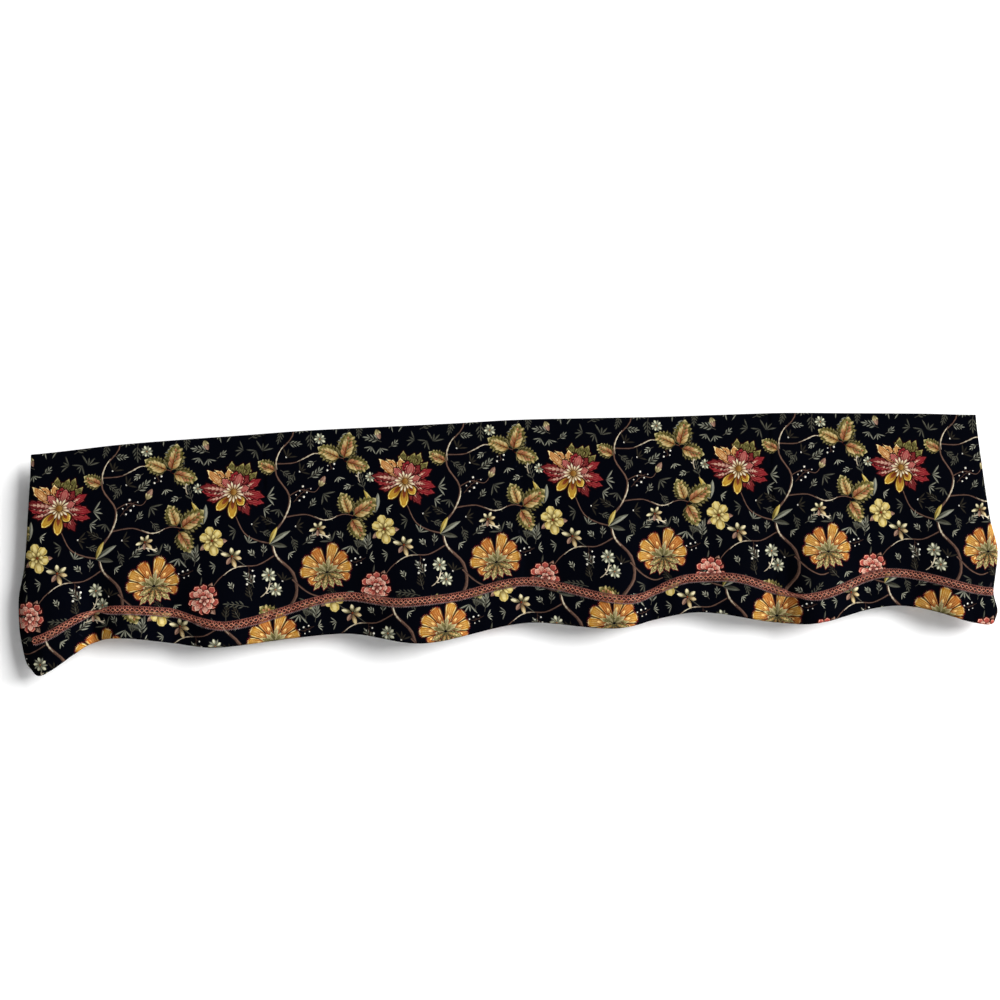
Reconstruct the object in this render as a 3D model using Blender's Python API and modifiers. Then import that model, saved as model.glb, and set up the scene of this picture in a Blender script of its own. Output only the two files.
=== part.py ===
"""Window valance: a printed cotton panel, a shaped lower band of the same cloth and a
woven gimp braid sewn over the seam between them.

The valance hangs in the XZ plane with its front towards -Y. The origin is the middle of
the top edge, where a rod or board holds it. Units are metres unless a name ends in MM.
"""

import math
from collections import namedtuple

import bmesh
import bpy
from mathutils import Vector
from mathutils.bvhtree import BVHTree

MM = 0.001

# ---------------------------------------------------------------- driving dimensions

CLOTH_THICK = 1.5 * MM
PIECE_GAP = 0.3 * MM          # between panel and band along the seam
BRAID_GAP = 0.4 * MM          # between the cloth and the back of the braid

BRAID_PITCH = 9.55 * MM       # from one lozenge gap to the next
BRAID_WIDTH = 19 * MM
BRAID_THICK = 1.8 * MM
BRAID_GAP_HALF = 2.6 * MM     # half a lozenge gap, measured along the braid

COLUMN_PITCH = 2 * BRAID_PITCH
COLUMNS_EACH_WAY = 49         # cloth columns from the middle to where the sides begin
SIDE_START = COLUMNS_EACH_WAY * COLUMN_PITCH
SIDE_COLUMNS = {-1: 8, 1: 6}  # columns from there round the bend of the left and right side
BRAID_SIDE_COLUMNS = {-1: 4, 1: 5}    # how many of them the braid crosses before it ends

SIDE_BEND_RADIUS = 26 * MM    # the sides curl to the back round this radius
SIDE_HEM_RADIUS = 1.7 * MM
SIDE_HEM_WIDTH = 20 * MM
HEM_RADIUS = 5.2 * MM         # the hem is rolled softly, not pressed
HEM_WIDTH = 22 * MM
TURN_STEPS = 3                # facets in each half turn

PANEL_ROWS = 10
BAND_ROWS = 4                 # above the roll of the hem

SHARP_ANGLE = math.radians(40)

# The top edge is bowed: its ends hang lower than its middle.
TOP_LINE_MM = (
    # across, height
    (-966, -29),
    (-775, -16),
    (-540, -8),
    (-410, -4),
    (-130, -2),
    (0, 0),
    (160, -3),
    (300, -6),
    (420, -7),
    (530, -8),
    (700, -15),
    (850, -22),
    (966, -29),
)

# Turning points of the scalloped hem: place across and drop below the top edge.
HEM_TURNS_MM = (
    # across, drop
    (-973, 440),
    (-836, 382),
    (-609, 419),
    (-376, 413),
    (-204, 440),
    (12, 415),
    (182, 430),
    (354, 405),
    (571, 437),
    (785, 401),
    (975, 440),
)

# Turning points of the seam that the braid covers.
SEAM_TURNS_MM = (
    # across, drop
    (-974, 369),
    (-848, 325),
    (-715, 341),
    (-596, 377),
    (-362, 338),
    (-245, 356),
    (-150, 352),
    (-2, 330),
    (217, 372),
    (350, 334),
    (415, 334),
    (588, 380),
    (770, 332),
    (985, 371),
)

# How far each side reaches from the middle, and how far its edge is turned back.
SIDE_LINES_MM = (
    # drop, left reach, left turn (degrees), right reach, right turn (degrees)
    (0, 966, 24, 966, 20),
    (110, 977, 34, 976, 30),
    (220, 990, 48, 990, 44),
    (290, 1006, 62, 1005, 58),
    (345, 1009, 78, 998, 66),
    (375, 1006, 84, 994, 70),
    (412, 999, 92, 1000, 64),
    (440, 982, 96, 990, 60),
)

# Soft folds. Each grows from its start down to the hem. A forward fold is positive.
FOLDS_MM = (
    # across at the hem, half width, forward depth at the hem, start (share of the drop), lean
    (-925, 48, 11, 0.20, 20),
    (-862, 38, -13, 0.30, -24),
    (-785, 58, 8, 0.25, 0),
    (-694, 40, -6, 0.40, 14),
    (-604, 72, 15, 0.10, 0),
    (-488, 46, -4, 0.30, -18),
    (-380, 84, -8, 0.20, 10),
    (-222, 86, 17, 0.08, 0),
    (-104, 44, -5, 0.45, 12),
    (8, 70, -9, 0.10, -10),
    (104, 42, 5, 0.40, 0),
    (190, 62, 14, 0.15, 0),
    (272, 38, -9, 0.45, 16),
    (362, 64, -6, 0.25, 0),
    (452, 40, 5, 0.40, -12),
    (532, 38, -10, 0.25, -8),
    (606, 62, 16, 0.15, 10),
    (716, 42, -5, 0.45, 0),
    (800, 78, -9, 0.20, 12),
    (902, 50, 11, 0.25, 0),
)

MATERIALS = {
    # name: (base colour, roughness)
    "panel": ((0.010, 0.011, 0.020), 0.85),
    "band": ((0.010, 0.011, 0.020), 0.85),
    "braid": ((0.33, 0.11, 0.085), 0.80),
}


# ---------------------------------------------------------------- smooth curves from the tables

def smooth_curve(places, values):
    """Return a smooth function through the rows of a table that never overshoots them."""
    slopes = [(values[i + 1] - values[i]) / (places[i + 1] - places[i])
              for i in range(len(places) - 1)]
    tangents = [slopes[0]]
    for before, after in zip(slopes, slopes[1:]):
        turning = before * after <= 0.0
        tangents.append(0.0 if turning else 2.0 * before * after / (before + after))
    tangents.append(slopes[-1])
    tangents[0] *= 0.5
    tangents[-1] *= 0.5

    def at(place):
        if place <= places[0]:
            return values[0]
        if place >= places[-1]:
            return values[-1]
        i = max(k for k in range(len(places) - 1) if places[k] <= place)
        step = places[i + 1] - places[i]
        t = (place - places[i]) / step
        return ((2 * t ** 3 - 3 * t ** 2 + 1) * values[i]
                + (t ** 3 - 2 * t ** 2 + t) * step * tangents[i]
                + (3 * t ** 2 - 2 * t ** 3) * values[i + 1]
                + (t ** 3 - t ** 2) * step * tangents[i + 1])

    return at


def table_column(table, column):
    return [row[column] * MM for row in table]


top_height = smooth_curve(table_column(TOP_LINE_MM, 0), table_column(TOP_LINE_MM, 1))
hem_drop = smooth_curve(table_column(HEM_TURNS_MM, 0), table_column(HEM_TURNS_MM, 1))
seam_drop = smooth_curve(table_column(SEAM_TURNS_MM, 0), table_column(SEAM_TURNS_MM, 1))

SIDE_DROPS = table_column(SIDE_LINES_MM, 0)
side_reach = {
    -1: smooth_curve(SIDE_DROPS, table_column(SIDE_LINES_MM, 1)),
    1: smooth_curve(SIDE_DROPS, table_column(SIDE_LINES_MM, 3)),
}
side_turn = {
    -1: smooth_curve(SIDE_DROPS, [math.radians(row[2]) for row in SIDE_LINES_MM]),
    1: smooth_curve(SIDE_DROPS, [math.radians(row[4]) for row in SIDE_LINES_MM]),
}


def ease(t):
    t = min(max(t, 0.0), 1.0)
    return t * t * (3.0 - 2.0 * t)


# ---------------------------------------------------------------- the hung surface

def fold_depth(across, drop):
    """Forward reach of the soft folds at a place on the cloth."""
    share = drop / hem_drop(across)
    depth = 0.0
    for place, half_width, forward, start, lean in FOLDS_MM:
        centre = (place - lean * (1.0 - share)) * MM
        spread = math.exp(-((across - centre) / (half_width * MM)) ** 2)
        depth += forward * MM * spread * ease((share - start) / (1.0 - start))
    return depth


def side_straight(side, drop):
    """Length of flat cloth between SIDE_START and the bend of the side."""
    bend_reach = SIDE_BEND_RADIUS * math.sin(min(side_turn[side](drop), math.pi / 2))
    return side_reach[side](drop) - bend_reach - SIDE_START


def side_length(side, drop):
    """Length of cloth from SIDE_START to the folded edge of the side."""
    return side_straight(side, drop) + SIDE_BEND_RADIUS * side_turn[side](drop)


def hung_point(across, drop):
    """Where a point of the flat cloth hangs. across and drop are measured along the cloth."""
    x, back = across, 0.0
    if abs(across) > SIDE_START:
        side = 1 if across > 0 else -1
        out = abs(across) - SIDE_START
        straight = side_straight(side, drop)
        angle = max(out - straight, 0.0) / SIDE_BEND_RADIUS
        x = side * (SIDE_START + min(out, straight) + SIDE_BEND_RADIUS * math.sin(angle))
        back = SIDE_BEND_RADIUS * (1.0 - math.cos(angle))
    return Vector((x, back - fold_depth(across, drop), top_height(x) - drop))


def back_direction(across, drop):
    """Unit vector out of the back of the cloth."""
    step = 1.0 * MM
    along = hung_point(across + step, drop) - hung_point(across - step, drop)
    down = hung_point(across, drop + step) - hung_point(across, drop - step)
    return along.cross(down).normalized()


def behind(across, drop, depth):
    """A point this far behind the cloth's middle surface."""
    return hung_point(across, drop) + depth * back_direction(across, drop)


# ---------------------------------------------------------------- columns and rows

def turn_over(run, radius, depth):
    """A half turn that starts at run 0: how far on, and how far behind, a point comes.

    depth is how far behind the surface the point lies before the turn."""
    if run <= 0.0:
        return run, depth
    angle = min(run / radius, math.pi)
    past = max(run - math.pi * radius, 0.0)
    on = (radius - depth) * math.sin(angle) - past
    return on, radius - (radius - depth) * math.cos(angle)


def turn_runs(radius, width):
    """Runs of the vertices round a half turn and along the hem behind it."""
    round_the_turn = [math.pi * radius * k / TURN_STEPS for k in range(1, TURN_STEPS + 1)]
    return round_the_turn + [round_the_turn[-1] + width]


# A column in the middle (side 0) has its place across. A column at the left (-1) or right
# (1) has its share of the side's cloth and, in the side hem, its run round the turn.
Column = namedtuple("Column", "side across share run", defaults=(0.0, 0.0, 0.0))


def side_columns(side, count):
    """The first columns of a side, from SIDE_START outwards."""
    return [Column(side, share=k / SIDE_COLUMNS[side]) for k in range(1, count + 1)]


def side_hem_columns(side):
    return [Column(side, share=1.0, run=run)
            for run in turn_runs(SIDE_HEM_RADIUS, SIDE_HEM_WIDTH)]


def middle_columns(pitch):
    steps = round(SIDE_START / pitch)
    return [Column(0, across=k * pitch) for k in range(-steps, steps + 1)]


def cloth_columns():
    left, right = (side_columns(side, SIDE_COLUMNS[side]) + side_hem_columns(side)
                   for side in (-1, 1))
    return left[::-1] + middle_columns(COLUMN_PITCH) + right


def braid_columns():
    """The braid's columns lie on the cloth's columns and half way between the middle ones."""
    left, right = (side_columns(side, BRAID_SIDE_COLUMNS[side]) for side in (-1, 1))
    return left[::-1] + middle_columns(BRAID_PITCH) + right


def column_place(column, drop):
    """Place across the cloth, and how far behind it, of a column at a drop."""
    if column.side == 0:
        return column.across, 0.0
    flat = (side_length(column.side, drop) - SIDE_HEM_RADIUS) * column.share
    on, depth = turn_over(column.run, SIDE_HEM_RADIUS, 0.0)
    return column.side * (SIDE_START + flat + on), depth


def column_drop(column, curve):
    """The drop at which a column meets the seam or the hem.

    A side column's place depends on its drop, so the two are found by turns."""
    drop = curve(0.0)
    for _ in range(5):
        drop = curve(column_place(column, drop)[0])
    return drop


def panel_point(column, share):
    """A vertex of the panel: share 0 is the top edge and 1 the seam."""
    drop = share * (column_drop(column, seam_drop) - PIECE_GAP / 2)
    across, depth = column_place(column, drop)
    return behind(across, drop, depth)


def band_point(column, row):
    """A vertex of the band. Rows run from the seam to the hem and round its roll."""
    first = column_drop(column, seam_drop) + PIECE_GAP / 2
    last = column_drop(column, hem_drop) - HEM_RADIUS
    drop = first + (last - first) * min(row / BAND_ROWS, 1.0)
    across, depth = column_place(column, drop)
    runs = [0.0] * (BAND_ROWS + 1) + turn_runs(HEM_RADIUS, HEM_WIDTH)
    on, depth = turn_over(runs[row], HEM_RADIUS, depth)
    return behind(across, drop + on, depth)


# ---------------------------------------------------------------- building the pieces

def new_material(name):
    colour, roughness = MATERIALS[name]
    material = bpy.data.materials.new(name)
    material.use_nodes = True
    shader = material.node_tree.nodes["Principled BSDF"]
    shader.inputs["Base Color"].default_value = (*colour, 1.0)
    shader.inputs["Roughness"].default_value = roughness
    shader.inputs["Metallic"].default_value = 0.0
    return material


def grid_mesh(columns, rows, point):
    """A grid of columns by rows steps whose vertices are moved to point(column, row)."""
    mesh = bmesh.new()
    bmesh.ops.create_grid(mesh, x_segments=columns, y_segments=rows, size=1.0)
    for vertex in mesh.verts:
        column = round((vertex.co.x + 1.0) / 2.0 * columns)
        row = round((1.0 - vertex.co.y) / 2.0 * rows)
        vertex.co = point(column, row)
    return mesh


def finish_piece(mesh, name, thickness, collection):
    """Make the open surface an object with its own material and thickness."""
    data = bpy.data.meshes.new(name)
    mesh.to_mesh(data)
    mesh.free()
    piece = bpy.data.objects.new(name, data)
    piece.data.materials.append(new_material(name))
    collection.objects.link(piece)
    solidify = piece.modifiers.new("thickness", "SOLIDIFY")
    solidify.thickness = thickness
    solidify.offset = 0.0
    solidify.use_even_offset = True
    data.shade_smooth()
    data.set_sharp_from_angle(angle=SHARP_ANGLE)


def braid_point(column, row, cloth):
    """A vertex of the braid, which lies on the front of the faceted cloth."""
    seam = column_drop(column, seam_drop)
    across = column_place(column, seam)[0]
    slope = (seam_drop(across + MM) - seam_drop(across - MM)) / (2 * MM)
    drop = seam + (row - 1) * BRAID_WIDTH / 2 * math.hypot(1.0, slope)
    across = column_place(column, drop)[0]
    on_cloth = min((tree.find_nearest(hung_point(across, drop)) for tree in cloth),
                   key=lambda hit: hit[3])[0]
    reach = CLOTH_THICK / 2 + BRAID_GAP + BRAID_THICK / 2
    return on_cloth - reach * back_direction(across, drop)


def build_cloth(collection):
    """Panel and band. Returns their surfaces, for the braid to lie on."""
    columns = cloth_columns()
    band_rows = BAND_ROWS + TURN_STEPS + 1
    panel = grid_mesh(len(columns) - 1, PANEL_ROWS,
                      lambda c, r: panel_point(columns[c], r / PANEL_ROWS))
    band = grid_mesh(len(columns) - 1, band_rows, lambda c, r: band_point(columns[c], r))
    for mesh in (panel, band):
        bmesh.ops.triangulate(mesh, faces=mesh.faces)
    surfaces = [BVHTree.FromBMesh(panel), BVHTree.FromBMesh(band)]
    finish_piece(panel, "panel", CLOTH_THICK, collection)
    finish_piece(band, "band", CLOTH_THICK, collection)
    return surfaces


def build_braid(collection, cloth):
    """A strip whose middle vertices are opened into lozenges."""
    columns = braid_columns()
    mesh = grid_mesh(len(columns) - 1, 2, lambda c, r: braid_point(columns[c], r, cloth))
    inner = [vertex for vertex in mesh.verts if not vertex.is_boundary]
    opened = bmesh.ops.bevel(mesh, geom=inner, offset=BRAID_GAP_HALF, segments=1,
                             affect="VERTICES")
    lozenges = [face for face in opened["faces"] if len(face.verts) == 4]
    bmesh.ops.delete(mesh, geom=lozenges, context="FACES")
    finish_piece(mesh, "braid", BRAID_THICK, collection)


def main():
    for old in list(bpy.data.objects):
        bpy.data.objects.remove(old, do_unlink=True)
    collection = bpy.data.collections.new("window_valance")
    bpy.context.scene.collection.children.link(collection)
    cloth = build_cloth(collection)
    build_braid(collection, cloth)


main()
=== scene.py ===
# %% [markdown]
# # A hung window valance
# The real object is a strip of printed cotton about two metres wide that hangs across the top
# of a window. A maker cuts a main panel and a shaped lower band, sews them together, covers the
# seam with a gimp braid and turns all the outer edges to the back. Each of those pieces is made
# here as it is cut: flat first, then folded, then hung.
#
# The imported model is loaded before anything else. It is a fixed frame: the new pieces hang
# exactly where its solids do, and nothing in it is moved.

import math
from collections import namedtuple

import bpy
import numpy as np
from mathutils import Matrix, Vector
from mathutils.geometry import delaunay_2d_cdt


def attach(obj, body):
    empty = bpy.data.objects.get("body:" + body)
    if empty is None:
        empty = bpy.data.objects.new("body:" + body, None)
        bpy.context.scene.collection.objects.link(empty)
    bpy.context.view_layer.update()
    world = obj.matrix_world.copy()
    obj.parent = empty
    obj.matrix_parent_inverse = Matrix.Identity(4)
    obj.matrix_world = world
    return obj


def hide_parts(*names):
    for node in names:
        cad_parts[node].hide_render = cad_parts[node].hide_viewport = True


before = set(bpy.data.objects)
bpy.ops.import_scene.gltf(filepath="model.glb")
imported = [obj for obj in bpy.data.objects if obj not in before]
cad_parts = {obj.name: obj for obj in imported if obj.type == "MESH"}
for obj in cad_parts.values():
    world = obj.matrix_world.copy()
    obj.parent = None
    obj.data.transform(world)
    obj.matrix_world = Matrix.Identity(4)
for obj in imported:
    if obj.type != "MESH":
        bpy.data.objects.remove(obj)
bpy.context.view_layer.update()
MM = 0.001

# %% [markdown]
# ## Helpers
# Colours are written as the hex codes that a colour picker shows. Shaders work in linear light,
# so one function converts them. Another adds a node, sets it and links it, which keeps each
# material a short list of steps. The other two start a material and put something in the scene.

# %% Colour, node and object helpers
def linear(code):
    """The linear colour of an sRGB hex code."""
    shares = [int(code[i:i + 2], 16) / 255 for i in (1, 3, 5)]
    return (*(s / 12.92 if s <= 0.04045 else ((s + 0.055) / 1.055) ** 2.4 for s in shares), 1.0)


def add_node(tree, kind, inputs=(), **settings):
    """Add a node. inputs are values, nodes or their outputs, in order or by socket."""
    node = tree.nodes.new(kind)
    for name, value in settings.items():
        setattr(node, name, value)
    for socket, value in (inputs.items() if isinstance(inputs, dict) else enumerate(inputs)):
        if isinstance(value, bpy.types.Node):
            value = value.outputs[0]
        if isinstance(value, bpy.types.NodeSocket):
            tree.links.new(value, node.inputs[socket])
        else:
            node.inputs[socket].default_value = value
    return node


def new_material(name, values):
    """A material with its shader's values set, and the node tree and shader to build on."""
    material = bpy.data.materials.new(name)
    material.use_nodes = True
    tree = material.node_tree
    shader = tree.nodes["Principled BSDF"]
    for socket, value in values.items():
        shader.inputs[socket].default_value = value
    return material, tree, shader


def add_object(name, data):
    """Put a mesh, a light or a camera in the scene."""
    thing = bpy.data.objects.new(name, data)
    bpy.context.scene.collection.objects.link(thing)
    return thing


print("helpers ready")

# %% [markdown]
# ## The camera
# The photograph was taken from about 2.4 m, a little left of the middle, with the camera
# slightly rolled. A camera can be aimed with angles or with its own three axes. The axes are
# used here, because a roll about the view line is then one short sum.

# %% Camera
CAMERA_DISTANCE = 2.4
CAMERA_YAW = math.radians(3.8)
CAMERA_ROLL = math.radians(2.63)
CAMERA_AIM = Vector((-0.0384, 0.0, -0.1613))     # where the view line meets the cloth
CAMERA_LENS_MM, CAMERA_SENSOR_MM = 42.48, 36.0

forward = Vector((math.sin(CAMERA_YAW), math.cos(CAMERA_YAW), 0.0))
level = Vector((math.cos(CAMERA_YAW), -math.sin(CAMERA_YAW), 0.0))
upright = Vector((0.0, 0.0, 1.0))
right = math.cos(CAMERA_ROLL) * level - math.sin(CAMERA_ROLL) * upright
up = math.sin(CAMERA_ROLL) * level + math.cos(CAMERA_ROLL) * upright

camera_data = bpy.data.cameras.new("camera")
camera_data.lens = CAMERA_LENS_MM
camera_data.sensor_width = CAMERA_SENSOR_MM
camera = add_object("camera", camera_data)
axes = Matrix((right, up, -forward)).transposed()
camera.matrix_world = Matrix.Translation(CAMERA_AIM - CAMERA_DISTANCE * forward) @ axes.to_4x4()
bpy.context.scene.camera = camera
print("camera at", tuple(round(x, 3) for x in camera.location))

# %% [markdown]
# ## Stage and light
# The valance was photographed against a white ground that lies close behind it, with soft
# light from the upper right, so a soft grey shadow shows below the hem and at the left side.
# A pale floor lies well below. The wall behind could hide the back of the valance in other
# views, so it is see-through from behind, and it neither blocks nor bounces light.

# %% Stage and light
FLOOR_HEIGHT, FLOOR_SIZE = -1.30, 12.0
WALL_PLACE, WALL_SIZE = 0.045, 6.0     # just behind the sides, which curl furthest back
LIT_PLACE = (0.0, 0.0, -0.2)

# A new primitive is selected, and so are the frame's solids, so nothing is selected first.
for thing in bpy.context.selected_objects:
    thing.select_set(False)
bpy.ops.mesh.primitive_plane_add(size=FLOOR_SIZE, location=(0.0, 0.0, FLOOR_HEIGHT))
floor = bpy.context.object
floor.name = "floor"
bpy.ops.mesh.primitive_plane_add(size=WALL_SIZE, rotation=(math.radians(90), 0.0, 0.0),
                                 location=(0.0, WALL_PLACE, FLOOR_HEIGHT + WALL_SIZE / 2))
wall = bpy.context.object
wall.name = "wall"
for way in ("visible_shadow", "visible_diffuse", "visible_glossy"):
    setattr(wall, way, False)

# Both are matt, so they show soft shadows and no shine. The paper glows faintly, to stay white.
plaster = new_material("matt_white_plaster", {"Base Color": linear("#C2C2C2"), "Roughness": 0.95})
floor.data.materials.append(plaster[0])

paper, tree, shader = new_material("matt_white_paper_seen_from_the_front", {
    "Base Color": linear("#FFFFFF"), "Roughness": 0.95,
    "Emission Color": linear("#FFFFFF"), "Emission Strength": 0.02})
side_seen = add_node(tree, "ShaderNodeNewGeometry")
both = add_node(tree, "ShaderNodeMixShader", [
    side_seen.outputs["Backfacing"], shader, add_node(tree, "ShaderNodeBsdfTransparent")])
tree.links.new(both.outputs[0], tree.nodes["Material Output"].inputs["Surface"])
wall.data.materials.append(paper)


def area_light(name, place, size, watts):
    """A square soft light that faces the valance."""
    data = bpy.data.lights.new(name, "AREA")
    data.size = size
    data.energy = watts
    light = add_object(name, data)
    light.location = place
    facing = Vector(LIT_PLACE) - Vector(place)
    light.rotation_euler = facing.to_track_quat("-Z", "Y").to_euler()


area_light("key", (18.4, -12.6, 8.6), 14.5, 12700)
area_light("back", (0.6, 3.0, 1.8), 2.0, 110)

world = bpy.data.worlds.new("studio")
world.use_nodes = True
sky = world.node_tree.nodes["Background"]
sky.inputs["Color"].default_value = linear("#FFFFFF")
sky.inputs["Strength"].default_value = 0.11
bpy.context.scene.world = world
bpy.context.scene.view_settings.view_transform = "Standard"
print("stage: floor, wall and two soft lights")

# %% [markdown]
# ## The hung surface
# Cloth that hangs from its whole top edge stays nearly flat there and waves more and more
# towards its free hem. A cloth simulation would give waves of its own choosing, but these waves
# are known, so the surface is worked out from short tables instead: the bowed top edge, the
# turning points of the hem and of the seam, the sides that curl back, and one row for each fold.
# They are the values that the solids were built from. A place on the flat cloth has two
# measures: across, from the middle, and drop, from the top edge down.

# %% Tables of the hung shape
LOZENGE_PITCH_MM = 9.55             # the openings in the braid repeat at this distance
SIDE_START = 98 * LOZENGE_PITCH_MM * MM    # the sides begin to turn outside this
SIDE_BEND_RADIUS = 26 * MM          # they curl to the back round this radius
CLOTH_THICK = 0.9 * MM
PIECE_GAP = 0.3 * MM                # between panel and band along the seam

TOP_LINE_MM = (
    # across, height
    (-966, -29), (-775, -16), (-540, -8), (-410, -4), (-130, -2), (0, 0), (160, -3),
    (300, -6), (420, -7), (530, -8), (700, -15), (850, -22), (966, -29),
)
HEM_TURNS_MM = (
    # across, drop
    (-973, 440), (-836, 382), (-609, 419), (-376, 413), (-204, 440), (12, 415),
    (182, 430), (354, 405), (571, 437), (785, 401), (975, 440),
)
SEAM_TURNS_MM = (
    # across, drop
    (-974, 369), (-848, 325), (-715, 341), (-596, 377), (-362, 338), (-245, 356), (-150, 352),
    (-2, 330), (217, 372), (350, 334), (415, 334), (588, 380), (770, 332), (985, 371),
)
SIDE_LINES_MM = (
    # drop, left reach, left turn (degrees), right reach, right turn (degrees)
    (0, 966, 24, 966, 20),
    (110, 977, 34, 976, 30),
    (220, 990, 48, 990, 44),
    (290, 1006, 62, 1005, 58),
    (345, 1009, 78, 998, 66),
    (375, 1006, 84, 994, 70),
    (412, 999, 92, 1000, 64),
    (440, 982, 96, 990, 60),
)
FOLDS_MM = (
    # across at the hem, half width, forward depth at the hem, start (share of the drop), lean
    (-925, 48, 11, 0.20, 20),
    (-862, 38, -13, 0.30, -24),
    (-785, 58, 8, 0.25, 0),
    (-694, 40, -6, 0.40, 14),
    (-604, 72, 15, 0.10, 0),
    (-488, 46, -4, 0.30, -18),
    (-380, 84, -8, 0.20, 10),
    (-222, 86, 17, 0.08, 0),
    (-104, 44, -5, 0.45, 12),
    (8, 70, -9, 0.10, -10),
    (104, 42, 5, 0.40, 0),
    (190, 62, 14, 0.15, 0),
    (272, 38, -9, 0.45, 16),
    (362, 64, -6, 0.25, 0),
    (452, 40, 5, 0.40, -12),
    (532, 38, -10, 0.25, -8),
    (606, 62, 16, 0.15, 10),
    (716, 42, -5, 0.45, 0),
    (800, 78, -9, 0.20, 12),
    (902, 50, 11, 0.25, 0),
)
print(len(FOLDS_MM), "folds,", len(HEM_TURNS_MM), "turns of the hem")

# %% [markdown]
# Between the rows of a table the cloth runs smoothly and never past them. A monotone cubic
# curve does that: it is level at each turning point. The functions take whole arrays of places,
# because the printed cloth has tens of thousands of points.

# %% Smooth curves through the tables
def smooth_curve(places, values):
    """A smooth function through the rows of a table that never overshoots them."""
    places, values = np.array(places, float), np.array(values, float)
    steps = np.diff(places)
    slopes = np.diff(values) / steps
    product = slopes[:-1] * slopes[1:]
    total = np.where(product > 0, slopes[:-1] + slopes[1:], 1.0)
    inner = np.where(product > 0, 2 * product / total, 0.0)
    tangents = np.concatenate(([slopes[0] / 2], inner, [slopes[-1] / 2]))

    def at(place):
        place = np.clip(place, places[0], places[-1])
        i = np.clip(np.searchsorted(places, place, "right") - 1, 0, len(steps) - 1)
        t = (place - places[i]) / steps[i]
        return ((2 * t ** 3 - 3 * t ** 2 + 1) * values[i]
                + (t ** 3 - 2 * t ** 2 + t) * steps[i] * tangents[i]
                + (3 * t ** 2 - 2 * t ** 3) * values[i + 1]
                + (t ** 3 - t ** 2) * steps[i] * tangents[i + 1])

    return at


def table_curve(table, column, unit=MM):
    return smooth_curve([row[0] * MM for row in table], [row[column] * unit for row in table])


top_height = table_curve(TOP_LINE_MM, 1)
hem_drop = table_curve(HEM_TURNS_MM, 1)
seam_drop = table_curve(SEAM_TURNS_MM, 1)
left_reach, right_reach = (table_curve(SIDE_LINES_MM, column) for column in (1, 3))
left_turn, right_turn = (table_curve(SIDE_LINES_MM, column, math.radians(1)) for column in (2, 4))


def ease(t):
    t = np.clip(t, 0.0, 1.0)
    return t * t * (3.0 - 2.0 * t)


print("hem at the middle:", round(float(hem_drop(0.0)), 4), "m")

# %% [markdown]
# The solids hold the broad folds. The scene adds what a finger would feel: the lines left by
# folding the cloth for storage, short sharp folds where the band kinks, and the fine puckers
# that sewing draws up along the braid and the hem. Each is a soft trough or ridge in a table,
# with its place and size listed.

# %% Creases and puckers
STORAGE_CREASES_MM = (
    # across, half width, forward depth
    (-511, 4.0, -1.3),
    (-505, 9.0, 1.0),
    (-2, 4.0, 1.3),
    (5, 9.0, -0.9),
    (524, 4.0, -1.3),
    (531, 9.0, 1.0),
)
SHORT_FOLDS_MM = (
    # across at the hem, half width, forward depth at the hem, start (share of the drop), lean
    (-955, 12, 3.0, 0.55, 12),
    (-884, 14, 3.5, 0.62, 10),
    (-866, 11, -6.0, 0.58, -8),
    (-820, 16, 1.6, 0.60, -10),
    (-702, 12, -2.4, 0.55, 16),
    (-640, 18, 1.6, 0.70, 0),
    (-560, 14, -1.6, 0.62, -12),
    (-440, 20, 1.4, 0.50, 8),
    (-330, 16, -1.8, 0.60, 10),
    (-262, 14, 1.5, 0.72, -6),
    (-160, 16, 1.8, 0.66, 10),
    (-60, 16, -2.0, 0.60, 8),
    (60, 15, 1.6, 0.64, -10),
    (146, 16, 1.4, 0.72, 6),
    (262, 11, -3.4, 0.62, 14),
    (318, 16, 1.6, 0.66, -8),
    (410, 14, -1.4, 0.60, 0),
    (494, 15, 1.5, 0.60, 8),
    (549, 11, -3.6, 0.58, -10),
    (660, 15, -1.6, 0.66, 10),
    (752, 16, 1.5, 0.62, 0),
    (846, 14, 1.6, 0.60, -10),
    (936, 13, -2.0, 0.55, 8),
)
PUCKERS_MM = (
    # wavelength, height, start of the wave
    (23.0, 0.28, 4.0),
    (37.0, 0.30, 11.0),
    (61.0, 0.34, 29.0),
)
PUCKER_REACH = 16 * MM             # how far from a line of stitches the puckers fade


def fold_depth(table, across, drop):
    """Forward reach of a table of folds. Each grows from its start down to the hem."""
    share = drop / hem_drop(across)
    depth = 0.0
    for place, half_width, forward, start, lean in table:
        centre = (place - lean * (1.0 - share)) * MM
        spread = np.exp(-((across - centre) / (half_width * MM)) ** 2)
        depth = depth + forward * MM * spread * ease((share - start) / (1.0 - start))
    return depth


def relief(across, drop):
    """How far forward the cloth reaches at each place."""
    depth = fold_depth(FOLDS_MM, across, drop) + fold_depth(SHORT_FOLDS_MM, across, drop)
    for place, half_width, forward in STORAGE_CREASES_MM:
        depth = depth + forward * MM * np.exp(-((across / MM - place) / half_width) ** 2)
    waves = sum(height * MM * np.sin(2 * np.pi * (across / MM - start) / wavelength)
                for wavelength, height, start in PUCKERS_MM)
    near_seam = np.exp(-((drop - seam_drop(across)) / PUCKER_REACH) ** 2)
    near_hem = np.exp(-((drop - hem_drop(across)) / PUCKER_REACH) ** 2)
    return depth + waves * (near_seam + 0.8 * near_hem)


def by_side(across, left, right):
    return np.where(across < 0, left, right)


def side_straight(across, drop):
    """Length of flat cloth between SIDE_START and the bend of the side."""
    turn = by_side(across, left_turn(drop), right_turn(drop))
    reach = by_side(across, left_reach(drop), right_reach(drop))
    return reach - SIDE_BEND_RADIUS * np.sin(np.minimum(turn, np.pi / 2)) - SIDE_START


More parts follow.
